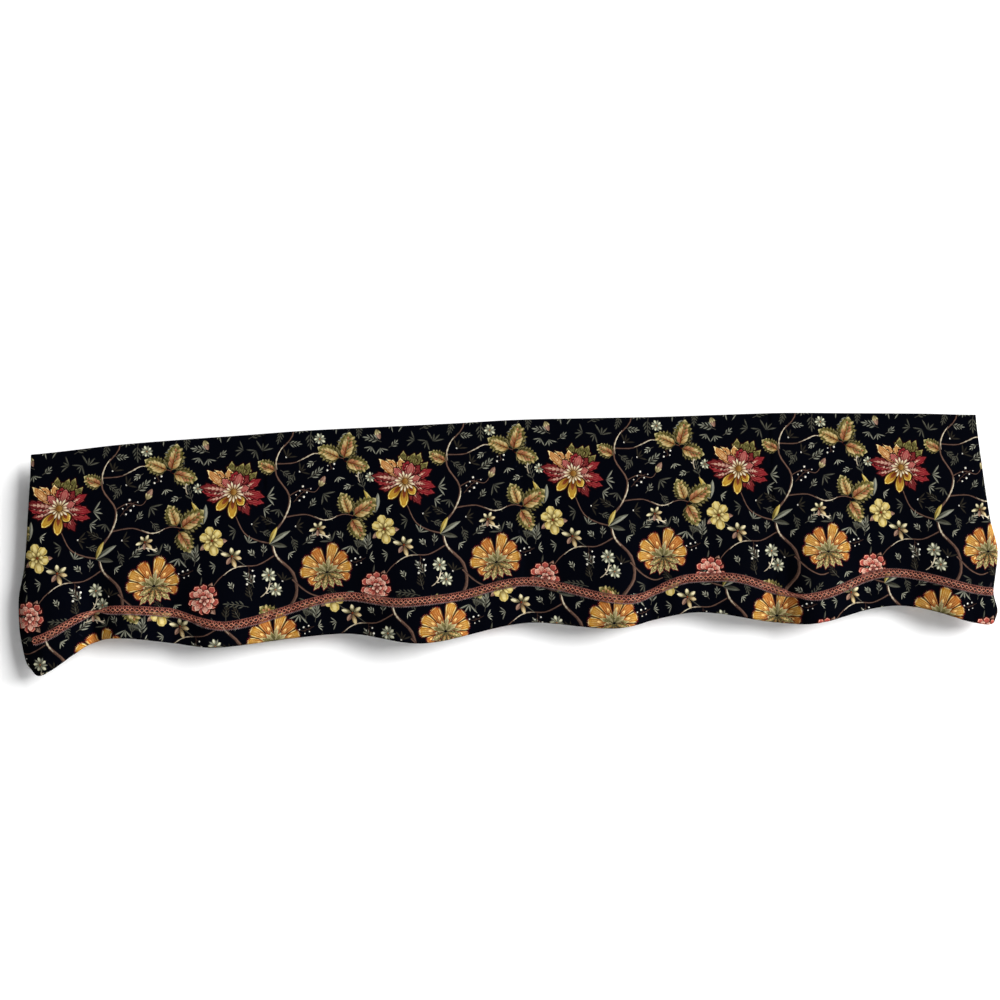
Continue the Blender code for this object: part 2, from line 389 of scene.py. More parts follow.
def side_edge(across, drop):
    """How far out along the cloth the folded edge of a side lies."""
    turn = by_side(across, left_turn(drop), right_turn(drop))
    return SIDE_START + side_straight(across, drop) + SIDE_BEND_RADIUS * turn


def hung(across, drop):
    """Where places on the flat cloth hang."""
    out = np.maximum(np.abs(across) - SIDE_START, 0.0)
    straight = side_straight(across, drop)
    angle = np.maximum(out - straight, 0.0) / SIDE_BEND_RADIUS
    reach = (np.minimum(np.abs(across), SIDE_START) + np.minimum(out, straight)
             + SIDE_BEND_RADIUS * np.sin(angle))
    x = np.sign(across) * reach
    back = SIDE_BEND_RADIUS * (1.0 - np.cos(angle))
    return np.stack([x, back - relief(across, drop), top_height(x) - drop], axis=-1)


def unit(vectors):
    return vectors / np.linalg.norm(vectors, axis=-1, keepdims=True)


def back_direction(across, drop):
    """Unit vectors out of the back of the cloth."""
    along = hung(across + MM, drop) - hung(across - MM, drop)
    down = hung(across, drop + MM) - hung(across, drop - MM)
    return unit(np.cross(along, down))


print("left edge hangs at", hung(np.array(-0.97), np.array(0.2)).round(3))

# %% [markdown]
# ## Turnings
# Every outer edge of the real valance is turned to the back: the top and the sides are pressed
# flat, and the hem is rolled softly. Along the seam the two seam allowances are pressed open.
# All of these are half turns of a small radius with a flap behind. Instead of modelling them
# as separate strips, each cut piece keeps its turnings, and one function folds them.

# %% Folding the turnings
Turning = namedtuple("Turning", "line radius flap")
CutPiece = namedtuple("CutPiece", "name top bottom")

SIDE_TURNING = Turning(None, 1.0 * MM, 20 * MM)
MITRE = 24 * MM                    # the top turning is cut slanting over this length
ALLOWANCE_END = 22 * MM            # seam allowances stop short of the side hems

PANEL = CutPiece(
    "panel",
    Turning(lambda across: 0.0 * across, 1.0 * MM, 26 * MM),
    Turning(lambda across: seam_drop(across) - PIECE_GAP / 2, 0.8 * MM, 12 * MM))
BAND = CutPiece(
    "band",
    Turning(lambda across: seam_drop(across) + PIECE_GAP / 2, 0.8 * MM, 12 * MM),
    Turning(hem_drop, 5.2 * MM, 22 * MM))


def turned(run, radius, depth):
    """A half turn that starts where run is 0: how far on and how far behind places come."""
    angle = np.clip(run / radius, 0.0, np.pi)
    past = np.maximum(run - np.pi * radius, 0.0)
    on = np.where(run > 0, (radius - depth) * np.sin(angle) - past, run)
    return on, np.where(run > 0, radius - (radius - depth) * np.cos(angle), depth)


def flat_reach(turning):
    """How far the flat cloth reaches past the line where its turning is folded."""
    return (math.pi - 1.0) * turning.radius + turning.flap


def folded_edge(piece, across, drop):
    """How far out the side of a cut piece is folded at each height."""
    height = np.clip(drop, piece.top.line(across), piece.bottom.line(across))
    return side_edge(across, height)


def side_folded(piece, across, drop, depth):
    """The side hems turned back: the new place across and depth."""
    start = folded_edge(piece, across, drop) - SIDE_TURNING.radius
    on, depth = turned(np.abs(across) - start, SIDE_TURNING.radius, depth)
    return np.sign(across) * (start + on), depth


def laid(piece, across, drop, depth):
    """Where places of a cut piece come to lie when it is folded and hung."""
    across, drop, depth = np.broadcast_arrays(across, drop, depth)
    across, depth = side_folded(piece, across, drop, depth)
    start = piece.bottom.line(across) - piece.bottom.radius
    on, depth = turned(drop - start, piece.bottom.radius, depth)
    drop = start + on
    start = piece.top.line(across) + piece.top.radius
    on, depth = turned(start - drop, piece.top.radius, depth)
    drop = start - on
    return hung(across, drop) + depth[..., None] * back_direction(across, drop)


print("the band is cut", round(flat_reach(BAND.bottom) / MM, 1), "mm longer than its hem line")

# %% [markdown]
# ## The cut outlines
# A paper pattern for each piece: the line of the top and bottom edge with what is added for the
# turnings, and the side edges with their hems. The upper corners are cut slanting, as a mitre,
# so that the top and side turnings meet without a lump.

# %% Paper patterns
EDGE_STEP = 5 * MM
ROUNDS = 6       # a cut edge and the edge it is folded at depend on each other, and settle fast


def margin(across, drop):
    """How far inside the folded side edge a place lies. It is negative in the side hem."""
    return side_edge(across, drop) - np.abs(across)


def added_at_top(piece, inset):
    """What the pattern adds above the top line, by the distance from the side edge."""
    reach, side = flat_reach(piece.top), flat_reach(SIDE_TURNING)
    if piece is PANEL:
        return np.interp(inset, [-side, 0.0, MITRE], [-1.3 * side, -1.0 * MM, reach])
    return np.interp(inset, [ALLOWANCE_END, ALLOWANCE_END + MM], [0.0, reach])


def added_at_bottom(piece, inset):
    reach = flat_reach(piece.bottom)
    if piece is BAND:
        return reach + 0.0 * inset
    return np.interp(inset, [ALLOWANCE_END, ALLOWANCE_END + MM], [0.0, reach])


def cut_edge(piece, across, at_top):
    """Drop of the cut edge of a piece, at the top or at the bottom."""
    turning = piece.top if at_top else piece.bottom
    drop = turning.line(across)
    for _ in range(ROUNDS):
        folded, _depth = side_folded(piece, across, drop, 0.0 * across)
        inset = margin(across, drop)
        if at_top:
            drop = turning.line(folded) - added_at_top(piece, inset)
        else:
            drop = turning.line(folded) + added_at_bottom(piece, inset)
    return drop


def side_cut(piece, side, drop):
    """Place across of the cut edge of a side."""
    across = np.full_like(drop, side * SIDE_START)
    for _ in range(ROUNDS):
        across = side * (folded_edge(piece, across, drop) + flat_reach(SIDE_TURNING))
    return across


def corner(piece, side, at_top):
    """Where a cut side edge meets the cut top or bottom edge."""
    drop = np.array([0.4])
    for _ in range(ROUNDS + 2):
        across = side_cut(piece, side, drop)
        drop = cut_edge(piece, across, at_top)
    return float(across[0]), float(drop[0])


def paper_pattern(piece):
    """The outline of a cut piece, as (across, drop) points."""
    edges = []
    for at_top in (True, False):
        (left, _), (right, _) = (corner(piece, side, at_top) for side in (-1, 1))
        places = np.linspace(left, right, round((right - left) / EDGE_STEP))
        height = cut_edge(piece, np.array([-SIDE_START, SIDE_START]), at_top)
        kinks = [np.sign(s) * (side_edge(s, h) - inset)
                 for s, h in zip((-1.0, 1.0), height)
                 for inset in (0.0, ALLOWANCE_END, ALLOWANCE_END + MM, MITRE)]
        places = np.sort(np.concatenate([places, kinks]))
        places = places[np.concatenate([[True], np.diff(places) > 0.3 * MM])]
        edges.append(np.stack([places, cut_edge(piece, places, at_top)], axis=1))
    top, bottom = edges
    sides = []
    for side, first, last in ((1, top[-1], bottom[-1]), (-1, bottom[0], top[0])):
        steps = round(abs(last[1] - first[1]) / EDGE_STEP)
        drops = np.linspace(first[1], last[1], steps + 1)[1:-1]
        sides.append(np.stack([side_cut(piece, side, drops), drops], axis=1))
    return np.concatenate([top, sides[0], bottom[::-1], sides[1]])


def ring_area(outline):
    x, y = outline.T
    return abs(float(np.dot(x, np.roll(y, -1)) - np.dot(y, np.roll(x, -1)))) / 2


PATTERNS = {piece.name: paper_pattern(piece) for piece in (PANEL, BAND)}
for name, outline in PATTERNS.items():
    size = np.ptp(outline, axis=0)
    print(name, "pattern:", size.round(3), "m, area", round(ring_area(outline), 3), "m2")

# %% [markdown]
# ## Drawing the print
# The cloth is printed with a flowering vine on a near-black ground. An image would be the usual
# way, but a drawing in code stays sharp at any size. Everything in it is one kind of mark: a
# stroke with a middle line and a width at each point of it. A petal is a short wide stroke, a
# leaf has teeth along its edges, and a branch is a long thin one. Each stroke has an ink:
# a colour at its foot, one at its tip, and one for the fine lines drawn on it.

# %% Inks
Ink = namedtuple("Ink", "foot tip lines streaks ribs shade rim edge specks glow",
                 defaults=(0.0, 0.0, 0.0, 1.0, 0.0, 0.0, 0.0))

INKS = {
    # name: foot, tip and line colour, then how strong the streaks, ribs, a shaded half, the dark
    # rim, the light edge, the specks and the glow in the middle are
    "ground": Ink("#020308", "#020308", "#020308", 0.0, 0.0, 0.0, 0.0),
    "dark halo": Ink("#2A0607", "#1E0305", "#110404", 0.0, 0.0, 0.0, 0.3),
    "shadow": Ink("#14120F", "#24211A", "#3A352B", 0.0, 0.0, 0.4, 0.0),
    "crimson": Ink("#39040A", "#6E0A1A", "#C36A5D", 0.35, 0.0, 0.0, 1.0, 0.15, 0.3, 0.05),
    "wine": Ink("#2D0308", "#520814", "#A7564B", 0.4, 0.2, 0.0, 1.0, 0.1, 0.3, 0.1),
    "rose": Ink("#3F050B", "#791221", "#DB9784", 0.5, 0.0, 0.0, 1.0, 0.5, 0.3, 0.25),
    "pink barbs": Ink("#75342D", "#AE7F6B", "#F1DBC3", 0.3, 0.3, 0.0, 0.5, 0.0, 0.3),
    "peach": Ink("#68190F", "#9E5F26", "#EFD99A", 0.4, 0.0, 0.0, 1.0, 1.0, 0.5, 0.1),
    "peach barbs": Ink("#7E2617", "#B37F44", "#F5E7B7", 0.3, 0.3, 0.0, 0.4, 0.2, 0.3),
    "moss petal": Ink("#3F140F", "#3F3C1C", "#A0955A", 0.35, 0.3, 0.0, 1.0, 0.9, 0.6),
    "spoon yellow": Ink("#572107", "#9F7217", "#EDD373", 0.2, 0.0, 0.0, 0.9, 0.9, 0.3, 0.1),
    "fan gold": Ink("#75210A", "#A46E15", "#F5DF9A", 0.35, 0.0, 0.0, 0.9, 1.0, 0.9, 0.1),
    "fan orange": Ink("#641208", "#995014", "#EFC77B", 0.35, 0.0, 0.0, 0.9, 1.0, 0.9, 0.1),
    "cream": Ink("#997C4D", "#E3D7B6", "#8D6A3A", 0.2, 0.0, 0.0, 0.5),
    "seed": Ink("#6D4118", "#997439", "#4E2C10", 0.0, 0.6, 0.0, 0.6, 0.0, 0.8),
    "olive": Ink("#221E08", "#50491E", "#BFB37D", 0.3, 0.3, 0.0, 0.9, 0.9, 0.3),
    "olive lit": Ink("#362E0E", "#6B6036", "#D2C595", 0.4, 0.3, 0.3, 0.8, 0.6),
    "leaf rust": Ink("#571A0B", "#844926", "#DCAD7D", 0.35, 0.35, 0.0, 0.3, 0.3, 0.3),
    "leaf cream": Ink("#8D6B3B", "#C1B07A", "#93542D", 0.2, 0.3, 0.0, 0.2, 0.0, 0.2),
    "rust vein": Ink("#521C0A", "#72391F", "#562211", 0.0, 0.0, 0.0, 0.0),
    "yellow petal": Ink("#493007", "#A3862D", "#F3E7A7", 0.3, 0.0, 0.0, 1.0, 0.4, 0.2, 0.5),
    "buff petal": Ink("#482A0F", "#8B6B32", "#EDDEB1", 0.3, 0.0, 0.0, 1.0, 0.4, 0.2, 0.5),
    "pale petal": Ink("#352F14", "#7B7143", "#F2E7BF", 0.25, 0.0, 0.0, 1.0, 0.5, 0.0, 0.7),
    "white petal": Ink("#494926", "#8B8B69", "#F1EFD5", 0.0, 0.0, 0.3, 0.7, 0.0, 0.0, 0.7),
    "pink brown": Ink("#2F1915", "#6E5043", "#C5A189", 0.35, 0.0, 0.4, 0.8),
    "light green": Ink("#434536", "#828372", "#D1CFBB", 0.0, 0.0, 0.5, 0.4),
    "grey green": Ink("#2D2E26", "#636457", "#A6A695", 0.0, 0.0, 0.5, 0.4),
    "dim green": Ink("#1A1A16", "#3B3B31", "#6C6C60", 0.0, 0.0, 0.4, 0.3),
    "lance yellow": Ink("#493E11", "#9C8335", "#E1D288", 0.2, 0.0, 0.45, 0.6),
    "bark": Ink("#291A15", "#49352B", "#86695A", 0.5, 0.0, 0.4),
    "pale bark": Ink("#7F6D55", "#C9BCA0", "#F1EAD1", 0.4, 0.0, 0.3, 0.3),
    "stem": Ink("#292621", "#49463A", "#797768", 0.0, 0.0, 0.4, 0.0),
    "berry": Ink("#999484", "#DFDBCB", "#FDFDFD", 0.0, 0.0, 0.0, 0.4, 0.0, 0.0, 0.5),
    "coral": Ink("#44040A", "#8B2121", "#EEA088", 0.2, 0.0, 0.0, 1.0, 0.9, 0.0, 0.15),
    "pale coral": Ink("#640B12", "#A6483C", "#F7D5BB", 0.2, 0.0, 0.0, 1.0, 0.9, 0.0, 0.4),
}
INK_NAMES = list(INKS)
print(len(INKS), "inks")

# %% [markdown]
# A stroke keeps its middle line and widths, because the shader later needs to know how far
# along and how far across a stroke each point lies. Its outline is drawn from one edge: points
# that say how far along the middle line they are and how much of the width they reach. The
# other side mirrors it. The drawing's own axes point right and up, in millimetres.

# %% Strokes
Stroke = namedtuple("Stroke", "middle half_widths outline ink")
SHORTEST_EDGE = 0.05


def arc_line(start, heading, length, bend, steps):
    """Points of a line that leaves start in a direction and turns by bend over its length."""
    points = [start]
    for k in range(steps):
        angle = math.radians(heading + bend * (k + 0.5) / steps)
        x, y = points[-1]
        step = length / steps
        points.append((x + step * math.cos(angle), y + step * math.sin(angle)))
    return points


def sideways(points):
    """Unit vectors to the left of a line at each of its points."""
    found = []
    for k in range(len(points)):
        before, after = points[max(k - 1, 0)], points[min(k + 1, len(points) - 1)]
        dx, dy = after[0] - before[0], after[1] - before[1]
        size = math.hypot(dx, dy)
        found.append((-dy / size, dx / size))
    return found


def strip(middle, half_widths, ink, edge=None):
    """A stroke with a half width at each point of its middle line.

    edge is one side of its outline: how far along the line, and how much of the width."""
    steps = len(middle) - 1
    edge = edge or [(k / steps, 1.0) for k in range(steps + 1)]
    lefts = sideways(middle)
    sides = []
    for sign in (1, -1):
        side = []
        for along, share in edge:
            k = min(int(along * steps), steps - 1)
            t = along * steps - k
            (x0, y0), (x1, y1) = middle[k], middle[k + 1]
            (u0, v0), (u1, v1) = lefts[k], lefts[k + 1]
            s = min(max(t, 0.0), 1.0)
            reach = sign * share * (half_widths[k] * (1 - s) + half_widths[k + 1] * s)
            side.append((x0 + t * (x1 - x0) + reach * (u0 * (1 - s) + u1 * s),
                         y0 + t * (y1 - y0) + reach * (v0 * (1 - s) + v1 * s)))
        sides.append(side)
    outline = []
    for point in sides[0] + sides[1][::-1]:
        if not outline or math.dist(point, outline[-1]) > SHORTEST_EDGE:
            outline.append(point)
    if math.dist(outline[0], outline[-1]) < SHORTEST_EDGE:
        outline.pop()
    return Stroke(middle, half_widths, outline, ink)


def fullness(along, fullest, blunt):
    """The width of a petal along it, as a share of its widest."""
    power = math.log(0.5) / math.log(fullest)
    return max(math.sin(math.pi * min(along, 1.0) ** power), 0.0) ** blunt


def petal(start, heading, length, width, ink, fullest=0.6, blunt=0.7, bend=0.0, steps=7):
    """A petal, leaf or drop. fullest is where it is widest, and blunt is small for round ends."""
    widths = [width / 2 * fullness(k / steps, fullest, blunt) for k in range(steps + 1)]
    return strip(arc_line(start, heading, length, bend, steps), widths, ink)


def toothed(start, heading, length, width, ink, teeth, notch=0.3, fullest=0.5, bend=0.0,
            blunt=0.75):
    """A petal or leaf whose edges are cut in teeth that point to its tip."""
    steps = 6
    widths = [width / 2 * fullness(k / steps, fullest, blunt) for k in range(steps + 1)]
    edge = [(0.0, 1.0)]
    for k in range(teeth):
        foot, point = (k + 0.35) / (teeth + 0.35), (k + 1.25) / (teeth + 0.35)
        edge += [(foot, 1.0 - notch), (min(point, 0.97), 1.0 + 0.1 * (k % 2))]
    return strip(arc_line(start, heading, length, bend, steps), widths, ink, edge + [(1.0, 1.0)])


def fan_petal(start, heading, length, width, ink, teeth=2, bend=0.0):
    """A petal that widens to a ragged end. teeth is their number on each side of its middle."""
    steps = 5
    widths = [width / 2 * (0.2 + 0.8 * min(k / steps / 0.75, 1.0) ** 0.8)
              for k in range(steps + 1)]
    edge = [(0.0, 1.0), (0.25, 1.0), (0.5, 1.0), (0.74, 1.04)]
    for k in range(teeth):
        share = 1.0 - (k + 0.45) / (teeth + 0.5)
        crown = 0.86 + 0.13 * (1.0 - share ** 2)
        edge += [(crown, share + 0.08), (crown - 0.07, share - 0.14)]
    return strip(arc_line(start, heading, length, bend, steps), widths, ink, edge + [(1.0, 0.05)])


def disc(radius, ink, centre=(0.0, 0.0), steps=6):
    """A round spot, drawn as a very blunt petal."""
    return petal((centre[0] - radius, centre[1]), 0, 2 * radius, 2 * radius, ink,
                 0.5, 0.55, 0.0, steps)


def branch(points, ink, steps=4, knots=0.0):
    """A smooth stroke through given points: across, up and half width."""
    line = []
    for i in range(len(points) - 1):
        near = [points[min(max(i + k, 0), len(points) - 1)] for k in (-1, 0, 1, 2)]
        for k in range(steps):
            t = k / steps
            line.append([0.5 * (2 * b + (c - a) * t + (2 * a - 5 * b + 4 * c - d) * t ** 2
                                + (3 * b - a - 3 * c + d) * t ** 3)
                         for a, b, c, d in zip(*near)])
    line.append(points[-1])
    widths = [w * (1.0 + knots * math.sin(2.7 * k)) for k, (_, _, w) in enumerate(line)]
    return strip([(x, y) for x, y, _ in line], widths, ink)


print("a petal has", len(petal((0, 0), 90, 20, 10, "cream").outline), "points")

# %% [markdown]
# ## Motifs
# Each motif is a function that returns its strokes from back to front, with its foot or its
# middle at (0, 0). They are stock flowers and leaves of old block-printed cottons, drawn
# freely: a many-petalled red bloom, a gold fan-shaped one, small blossoms, toothed leaves,
# buds, berries and sprigs. A hand never draws two petals alike, so their lengths vary a little.

# %% Large blooms
def around(reach, heading):
    """The point this far from the middle of a motif."""
    return (reach * math.cos(math.radians(heading)), reach * math.sin(math.radians(heading)))


def uneven(k, share=0.12):
    """A length factor that differs from petal to petal."""
    return 1.0 + share * math.sin(2.3 * k + 0.8)


HALO = 2.2          # how far the dark ground tint of a petal reaches past it


def haloed(shape, start, heading, length, width, ink, *settings, halo="dark halo"):
    """A petal on a dark shape that is a little larger than it."""
    return [shape(start, heading, length + HALO, width + 2 * HALO, halo, *settings),
            shape(start, heading, length, width, ink, *settings)]


LONG_PETALS = (
    # heading, length, width, ink of the petal, ink of its barbs
    (100, 60, 24, "moss petal", None),
    (57, 66, 25, "moss petal", None),
    (78, 63, 25, "moss petal", None),
    (36, 58, 21, "moss petal", None),
    (-50, 58, 21, "wine", "pink barbs"),
    (20, 60, 20, "crimson", "pink barbs"),
    (203, 52, 19, "wine", "pink barbs"),
    (-26, 68, 22, "crimson", "pink barbs"),
    (184, 62, 21, "crimson", "pink barbs"),
    (126, 58, 21, "peach", "peach barbs"),
    (-4, 66, 21, "crimson", "pink barbs"),
    (166, 66, 20, "wine", "pink barbs"),
    (146, 70, 21, "peach", "peach barbs"),
    (-74, 42, 16, "wine", "pink barbs"),
    (108, 47, 20, "peach", None),
    (44, 46, 21, "wine", None),
    (88, 42, 23, "crimson", None),
    (66, 38, 24, "rose", None),
    (20, 34, 16, "rose", None),
    (126, 34, 17, "rose", None),
)


def red_bloom():
    out = []
    for k, (heading, length, width, ink, barbs) in enumerate(LONG_PETALS):
        bend = 12 if k % 2 else -12
        length *= uneven(k, 0.05)
        out += haloed(toothed, around(5, heading), heading, length - 5, width, ink,
                      5, 0.3, 0.62, bend)
        if barbs:
            out.append(toothed(around(9, heading), heading + 1, 0.64 * length * uneven(k, 0.2),
                               0.46 * width, barbs, 6, 0.8, 0.42, bend))
    for heading, length in ((228, 43), (308, 27), (268, 47)):
        out += haloed(petal, around(6, heading), heading, length, 19, "spoon yellow", 0.62, 0.62)
        out.append(petal(around(14, heading), heading, length * 0.45, 7, "rust vein", 0.55, 0.6,
                         0.0, 4))
    for k in range(15):
        heading = 24 * k + 7
        out.append(petal(around(5, heading), heading, 17 if k % 3 else 11, 4.2, "cream",
                         steps=3))
    out.append(disc(6.5, "seed", steps=5))
    return out


FAN_PETALS = (
    # heading, length, width, ink
    (-14, 42, 18, "fan orange"),
    (198, 38, 18, "fan orange"),
    (14, 50, 22, "fan gold"),
    (168, 49, 22, "fan gold"),
    (44, 53, 22, "fan orange"),
    (139, 54, 22, "fan gold"),
    (74, 56, 22, "fan gold"),
    (108, 54, 23, "fan orange"),
)


def gold_bloom():
    out = []
    for k, (heading, length, width, ink) in enumerate(FAN_PETALS):
        out += haloed(fan_petal, around(7, heading), heading, (length - 3) * uneven(k, 0.05),
                      width, ink, 4, 9 if k % 2 else -9, halo="wine")
        out.append(petal(around(14, heading), heading, 22, 7, "fan orange", 0.5, 0.9, 0.0, 4))
    for k, heading in enumerate((2, 28, 52, 78, 104, 128, 154, 178)):
        out.append(toothed(around(3, heading), heading, 25 * uneven(k, 0.25), 9.5,
                           "olive lit" if k % 2 else "olive", 3, 0.35))
    for heading, length in ((-48, 40), (226, 43), (-74, 31), (252, 35), (-24, 35), (204, 31)):
        out += haloed(toothed, around(1, heading), heading, length, 14, "olive", 5, 0.35,
                      halo="wine")
        out.append(toothed(around(5, heading), heading, length * 0.75, 6, "leaf cream", 4, 0.8))
    return out


print("red bloom:", len(red_bloom()), "strokes, gold bloom:", len(gold_bloom()), "strokes")

# %% Leaves, small flowers and sprigs
def broad_leaf(heart="leaf rust"):
    """A toothed leaf, and over it slanting strokes to both sides of the middle vein."""
    out = [toothed((0, 0), 90, 55, 46, "olive", 7, 0.34, 0.4, 10, 0.6)]
    for k in range(5):
        y = 5 + 8.5 * k
        for side in (-1, 1):
            ink = "leaf cream" if (3 * k + side) % 4 < 2 or heart == "leaf cream" else heart
            out.append(petal((side, y), 90 - side * 42, (19 - 2.4 * k) * uneven(2 * k + side, 0.2),
                             7.5 - 0.6 * k, ink, 0.45, 0.7, 14 * side, 4))
    out.append(petal((0, -4), 90, 48, 2.4, "rust vein", 0.3, 0.5, 10, 4))
    return out


def blossom(ink="yellow petal", petals=6, radius=25):
    out = [petal((0, 0), heading, radius * 1.15, radius * 0.42, "pink brown", 0.6, 0.8, 12, 5)
           for heading in (200, 340, 262)]
    for k in range(petals):
        heading = 90 + 360 / petals * k + 9 * math.sin(4.0 * k)
        out.append(petal((0, 0), heading, radius * uneven(k, 0.18), radius * 0.78, ink,
                         0.68, 0.55, 8))
    for k in range(petals):
        heading = 90 + 360 / petals * (k + 0.5)
        out.append(petal((0, 0), heading, radius * 0.52 * uneven(k, 0.3), radius * 0.26, ink, 0.6,
                         steps=4))
    out.append(disc(radius * 0.12, "rust vein", steps=3))
    return out


def spray(ink="pale petal", leaf=19):
    """Three almond petals and a drooping pair behind them, on a short stem."""
    out = []
    for k, (heading, kind, share) in enumerate((
            (-78, "buff petal", 1.15), (-128, "pink brown", 0.9), (28, ink, 1.05),
            (158, ink, 1.0), (-22, "buff petal", 1.0), (90, ink, 0.85))):
        out.append(petal(around(2, heading), heading, leaf * share * uneven(k), leaf * 0.5, kind,
                         0.52, 0.75, 8, 5))
    out.append(disc(leaf * 0.13, "rust vein", steps=3))
    return out


def star_blossom(radius=13):
    out = []
    for k in range(5):
        out.append(petal((0, 0), 126 + 72 * k, radius * 1.2, radius * 0.36, "grey green",
                         0.6, 0.8, steps=3))
    for k in range(5):
        out.append(petal(around(1.5, 90 + 72 * k), 90 + 72 * k, radius * uneven(k), radius * 0.6,
                         "white petal", 0.6, 0.75, steps=4))
    out.append(disc(radius * 0.16, "leaf rust", steps=3))
    return out


def coral_flower():
    """A ball of many small petals."""
    out = [petal((0, 0), heading, 34, 13, "pink brown", 0.6, 0.8, 10, 5) for heading in (58, 300)]
    rings = ((10, 11, 18, "coral"), (6, 9, 16, "pale coral"), (3, 7, 12, "coral"),
             (0, 5, 8, "pale coral"))
    for ring, (reach, count, length, ink) in enumerate(rings):
        for k in range(count):
            heading = 90 + 360 / count * (k + 0.5 * (ring % 2)) + 8 * math.sin(3.0 * k + ring)
            flat = 1.0 - 0.12 * math.sin(math.radians(heading))
            shape = (petal, around(reach, heading), heading, length * flat * uneven(3 * k, 0.2),
                     14 - 2.2 * ring, ink, 0.68, 0.6, 0.0, 5)
            out += haloed(*shape) if ring == 0 else [petal(*shape[1:])]
    return out


def bud():
    out = [petal((0, 0), 90, 22, 12, "pink brown", 0.45, steps=5)]
    for heading in (62, 118, 90):
        out.append(petal((0, -2), heading, 14, 5, "olive lit", 0.5, 0.8, steps=4))
    return out


def sprig(ink="grey green", pairs=3, length=32, leaf=16, bend=14.0):
    """A fine twig with pairs of narrow leaves and one at its tip."""
    steps = pairs + 1
    line = arc_line((0, 0), 90, length, bend, steps)
    out = [strip(line, [0.55] * len(line), "stem")]
    for k in range(pairs):
        at = k + 1
        lean = 90 + bend * at / steps
        for side in (1, -1):
            size = leaf * (1.0 - 0.1 * k) * uneven(3 * k + side, 0.2)
            out.append(petal(line[at], lean - side * 42, size, size * 0.24, ink,
                             0.5, 0.8, side * 14, 3))
    out.append(petal(line[-2], 90 + bend, leaf, leaf * 0.24, ink, 0.5, 0.8, steps=3))
    return out


def tuft(ink="grey green", leaf=20):
    """A spray of narrow leaves from one foot."""
    return [petal((0, 0), 90 + lean, leaf * uneven(k, 0.25), leaf * 0.19, ink,
                  0.5, 0.8, lean * 0.2, 3)
            for k, lean in enumerate((-56, -24, 8, 42))]


def berries(count=7):
    """White berries on short stalks along a twig."""
    line = arc_line((0, 0), 90, 5.5 * count, -22, count)
    out = [strip(line, [0.55] * len(line), "bark")]
    for k in range(1, count + 1):
        side = 1 if k % 2 else -1
        x, y = line[k]
        tip = (x + side * (7 * uneven(k, 0.3)), y + 4)
        out.append(strip([(x, y), tip], [0.45] * 2, "bark"))
        out.append(disc(1.9 * uneven(k, 0.3), "berry", tip, 4))
    return out


def thorn_twig(length=46):
    """A short bent twig of pale bark with thorns."""
    line = arc_line((0, 0), 90, length, -60, 6)
    out = []
    for k, side in ((2, 1), (3, -1), (5, 1)):
        lean = 90 - 60 * k / 6
        out.append(petal(line[k], lean + side * 55, 9 * uneven(k), 3.4, "pale bark", 0.25, 0.8,
                         steps=3))
    out.append(strip(line, [0.6, 1.3, 1.0, 1.7, 1.3, 1.9, 0.3], "pale bark"))
    return out


def lances(inks=("grey green", "lance yellow", "grey green")):
    """Long narrow leaves from one foot."""
    return [petal((0, 0), heading, length, 10.5, ink, 0.5, 0.85, 10, 5)
            for ink, heading, length in zip(inks, (52, 86, 128), (40, 52, 38))]


print("a broad leaf has", len(broad_leaf()), "strokes")

# %% [markdown]
# ## One repeat of the print
# Furnishing cottons repeat across the width. A quarter of the usual 1.37 m width is 343 mm, and
# this drawing repeats at that distance. The vine is set first, then the sprigs that fill the
# ground, and the large blooms last, so that they lie on top.

# %% Layout of a repeat
REPEAT = 343.0
VINE = (
    # ink, then (across, up, half width) for each point
    ("bark", ((66, -420, 4), (84, -372, 3.68), (114, -330, 3.36), (110, -284, 3.2),
              (78, -246, 2.88), (74, -206, 2.48), (100, -170, 2.24), (110, -128, 1.92),
              (86, -84, 1.68), (92, -42, 1.52), (122, -8, 1.36), (128, 40, 1.2))),
    ("bark", ((108, -296, 2.08), (134, -322, 1.76), (158, -334, 1.44), (176, -330, 1.2))),
    ("bark", ((76, -222, 1.92), (46, -214, 1.6), (18, -196, 1.36), (2, -160, 1.12))),
    ("bark", ((102, -170, 1.76), (142, -168, 1.44), (178, -182, 1.28), (214, -172, 1.12),
              (236, -176, 0.96))),
    ("bark", ((88, -62, 1.52), (126, -62, 1.36), (164, -46, 1.2), (200, -54, 1.04),
              (222, -60, 0.88))),
    ("bark", ((74, -246, 1.68), (40, -262, 1.44), (0, -262, 1.2), (-36, -284, 1.04),
              (-60, -318, 0.88))),
    ("bark", ((84, -372, 1.92), (50, -366, 1.6), (20, -372, 1.28), (-14, -392, 0.96))),
    ("bark", ((110, -128, 1.2), (134, -118, 1.04), (160, -124, 0.88), (172, -112, 0.72))),
    ("stem", ((18, -262, 0.96), (-4, -244, 0.8), (-36, -222, 0.64))),
    ("pale bark", ((90, -262, 0.24), (80, -249, 1.52), (75, -234, 1.12), (73, -214, 0.24))),
    ("pale bark", ((92, -182, 0.32), (102, -166, 1.36), (110, -148, 0.96), (112, -132, 0.24))),
    ("pale bark", ((88, -74, 0.32), (87, -58, 1.2), (94, -40, 0.88), (104, -26, 0.24))),
    ("pale bark", ((158, -173, 0.24), (176, -181, 1.12), (192, -180, 0.72), (204, -174, 0.24))),
    ("pale bark", ((128, -61, 0.24), (146, -54, 1.04), (162, -47, 0.72), (176, -48, 0.24))),
    ("pale bark", ((20, -262, 0.24), (2, -262, 1.04), (-14, -268, 0.72), (-26, -277, 0.24))),
)
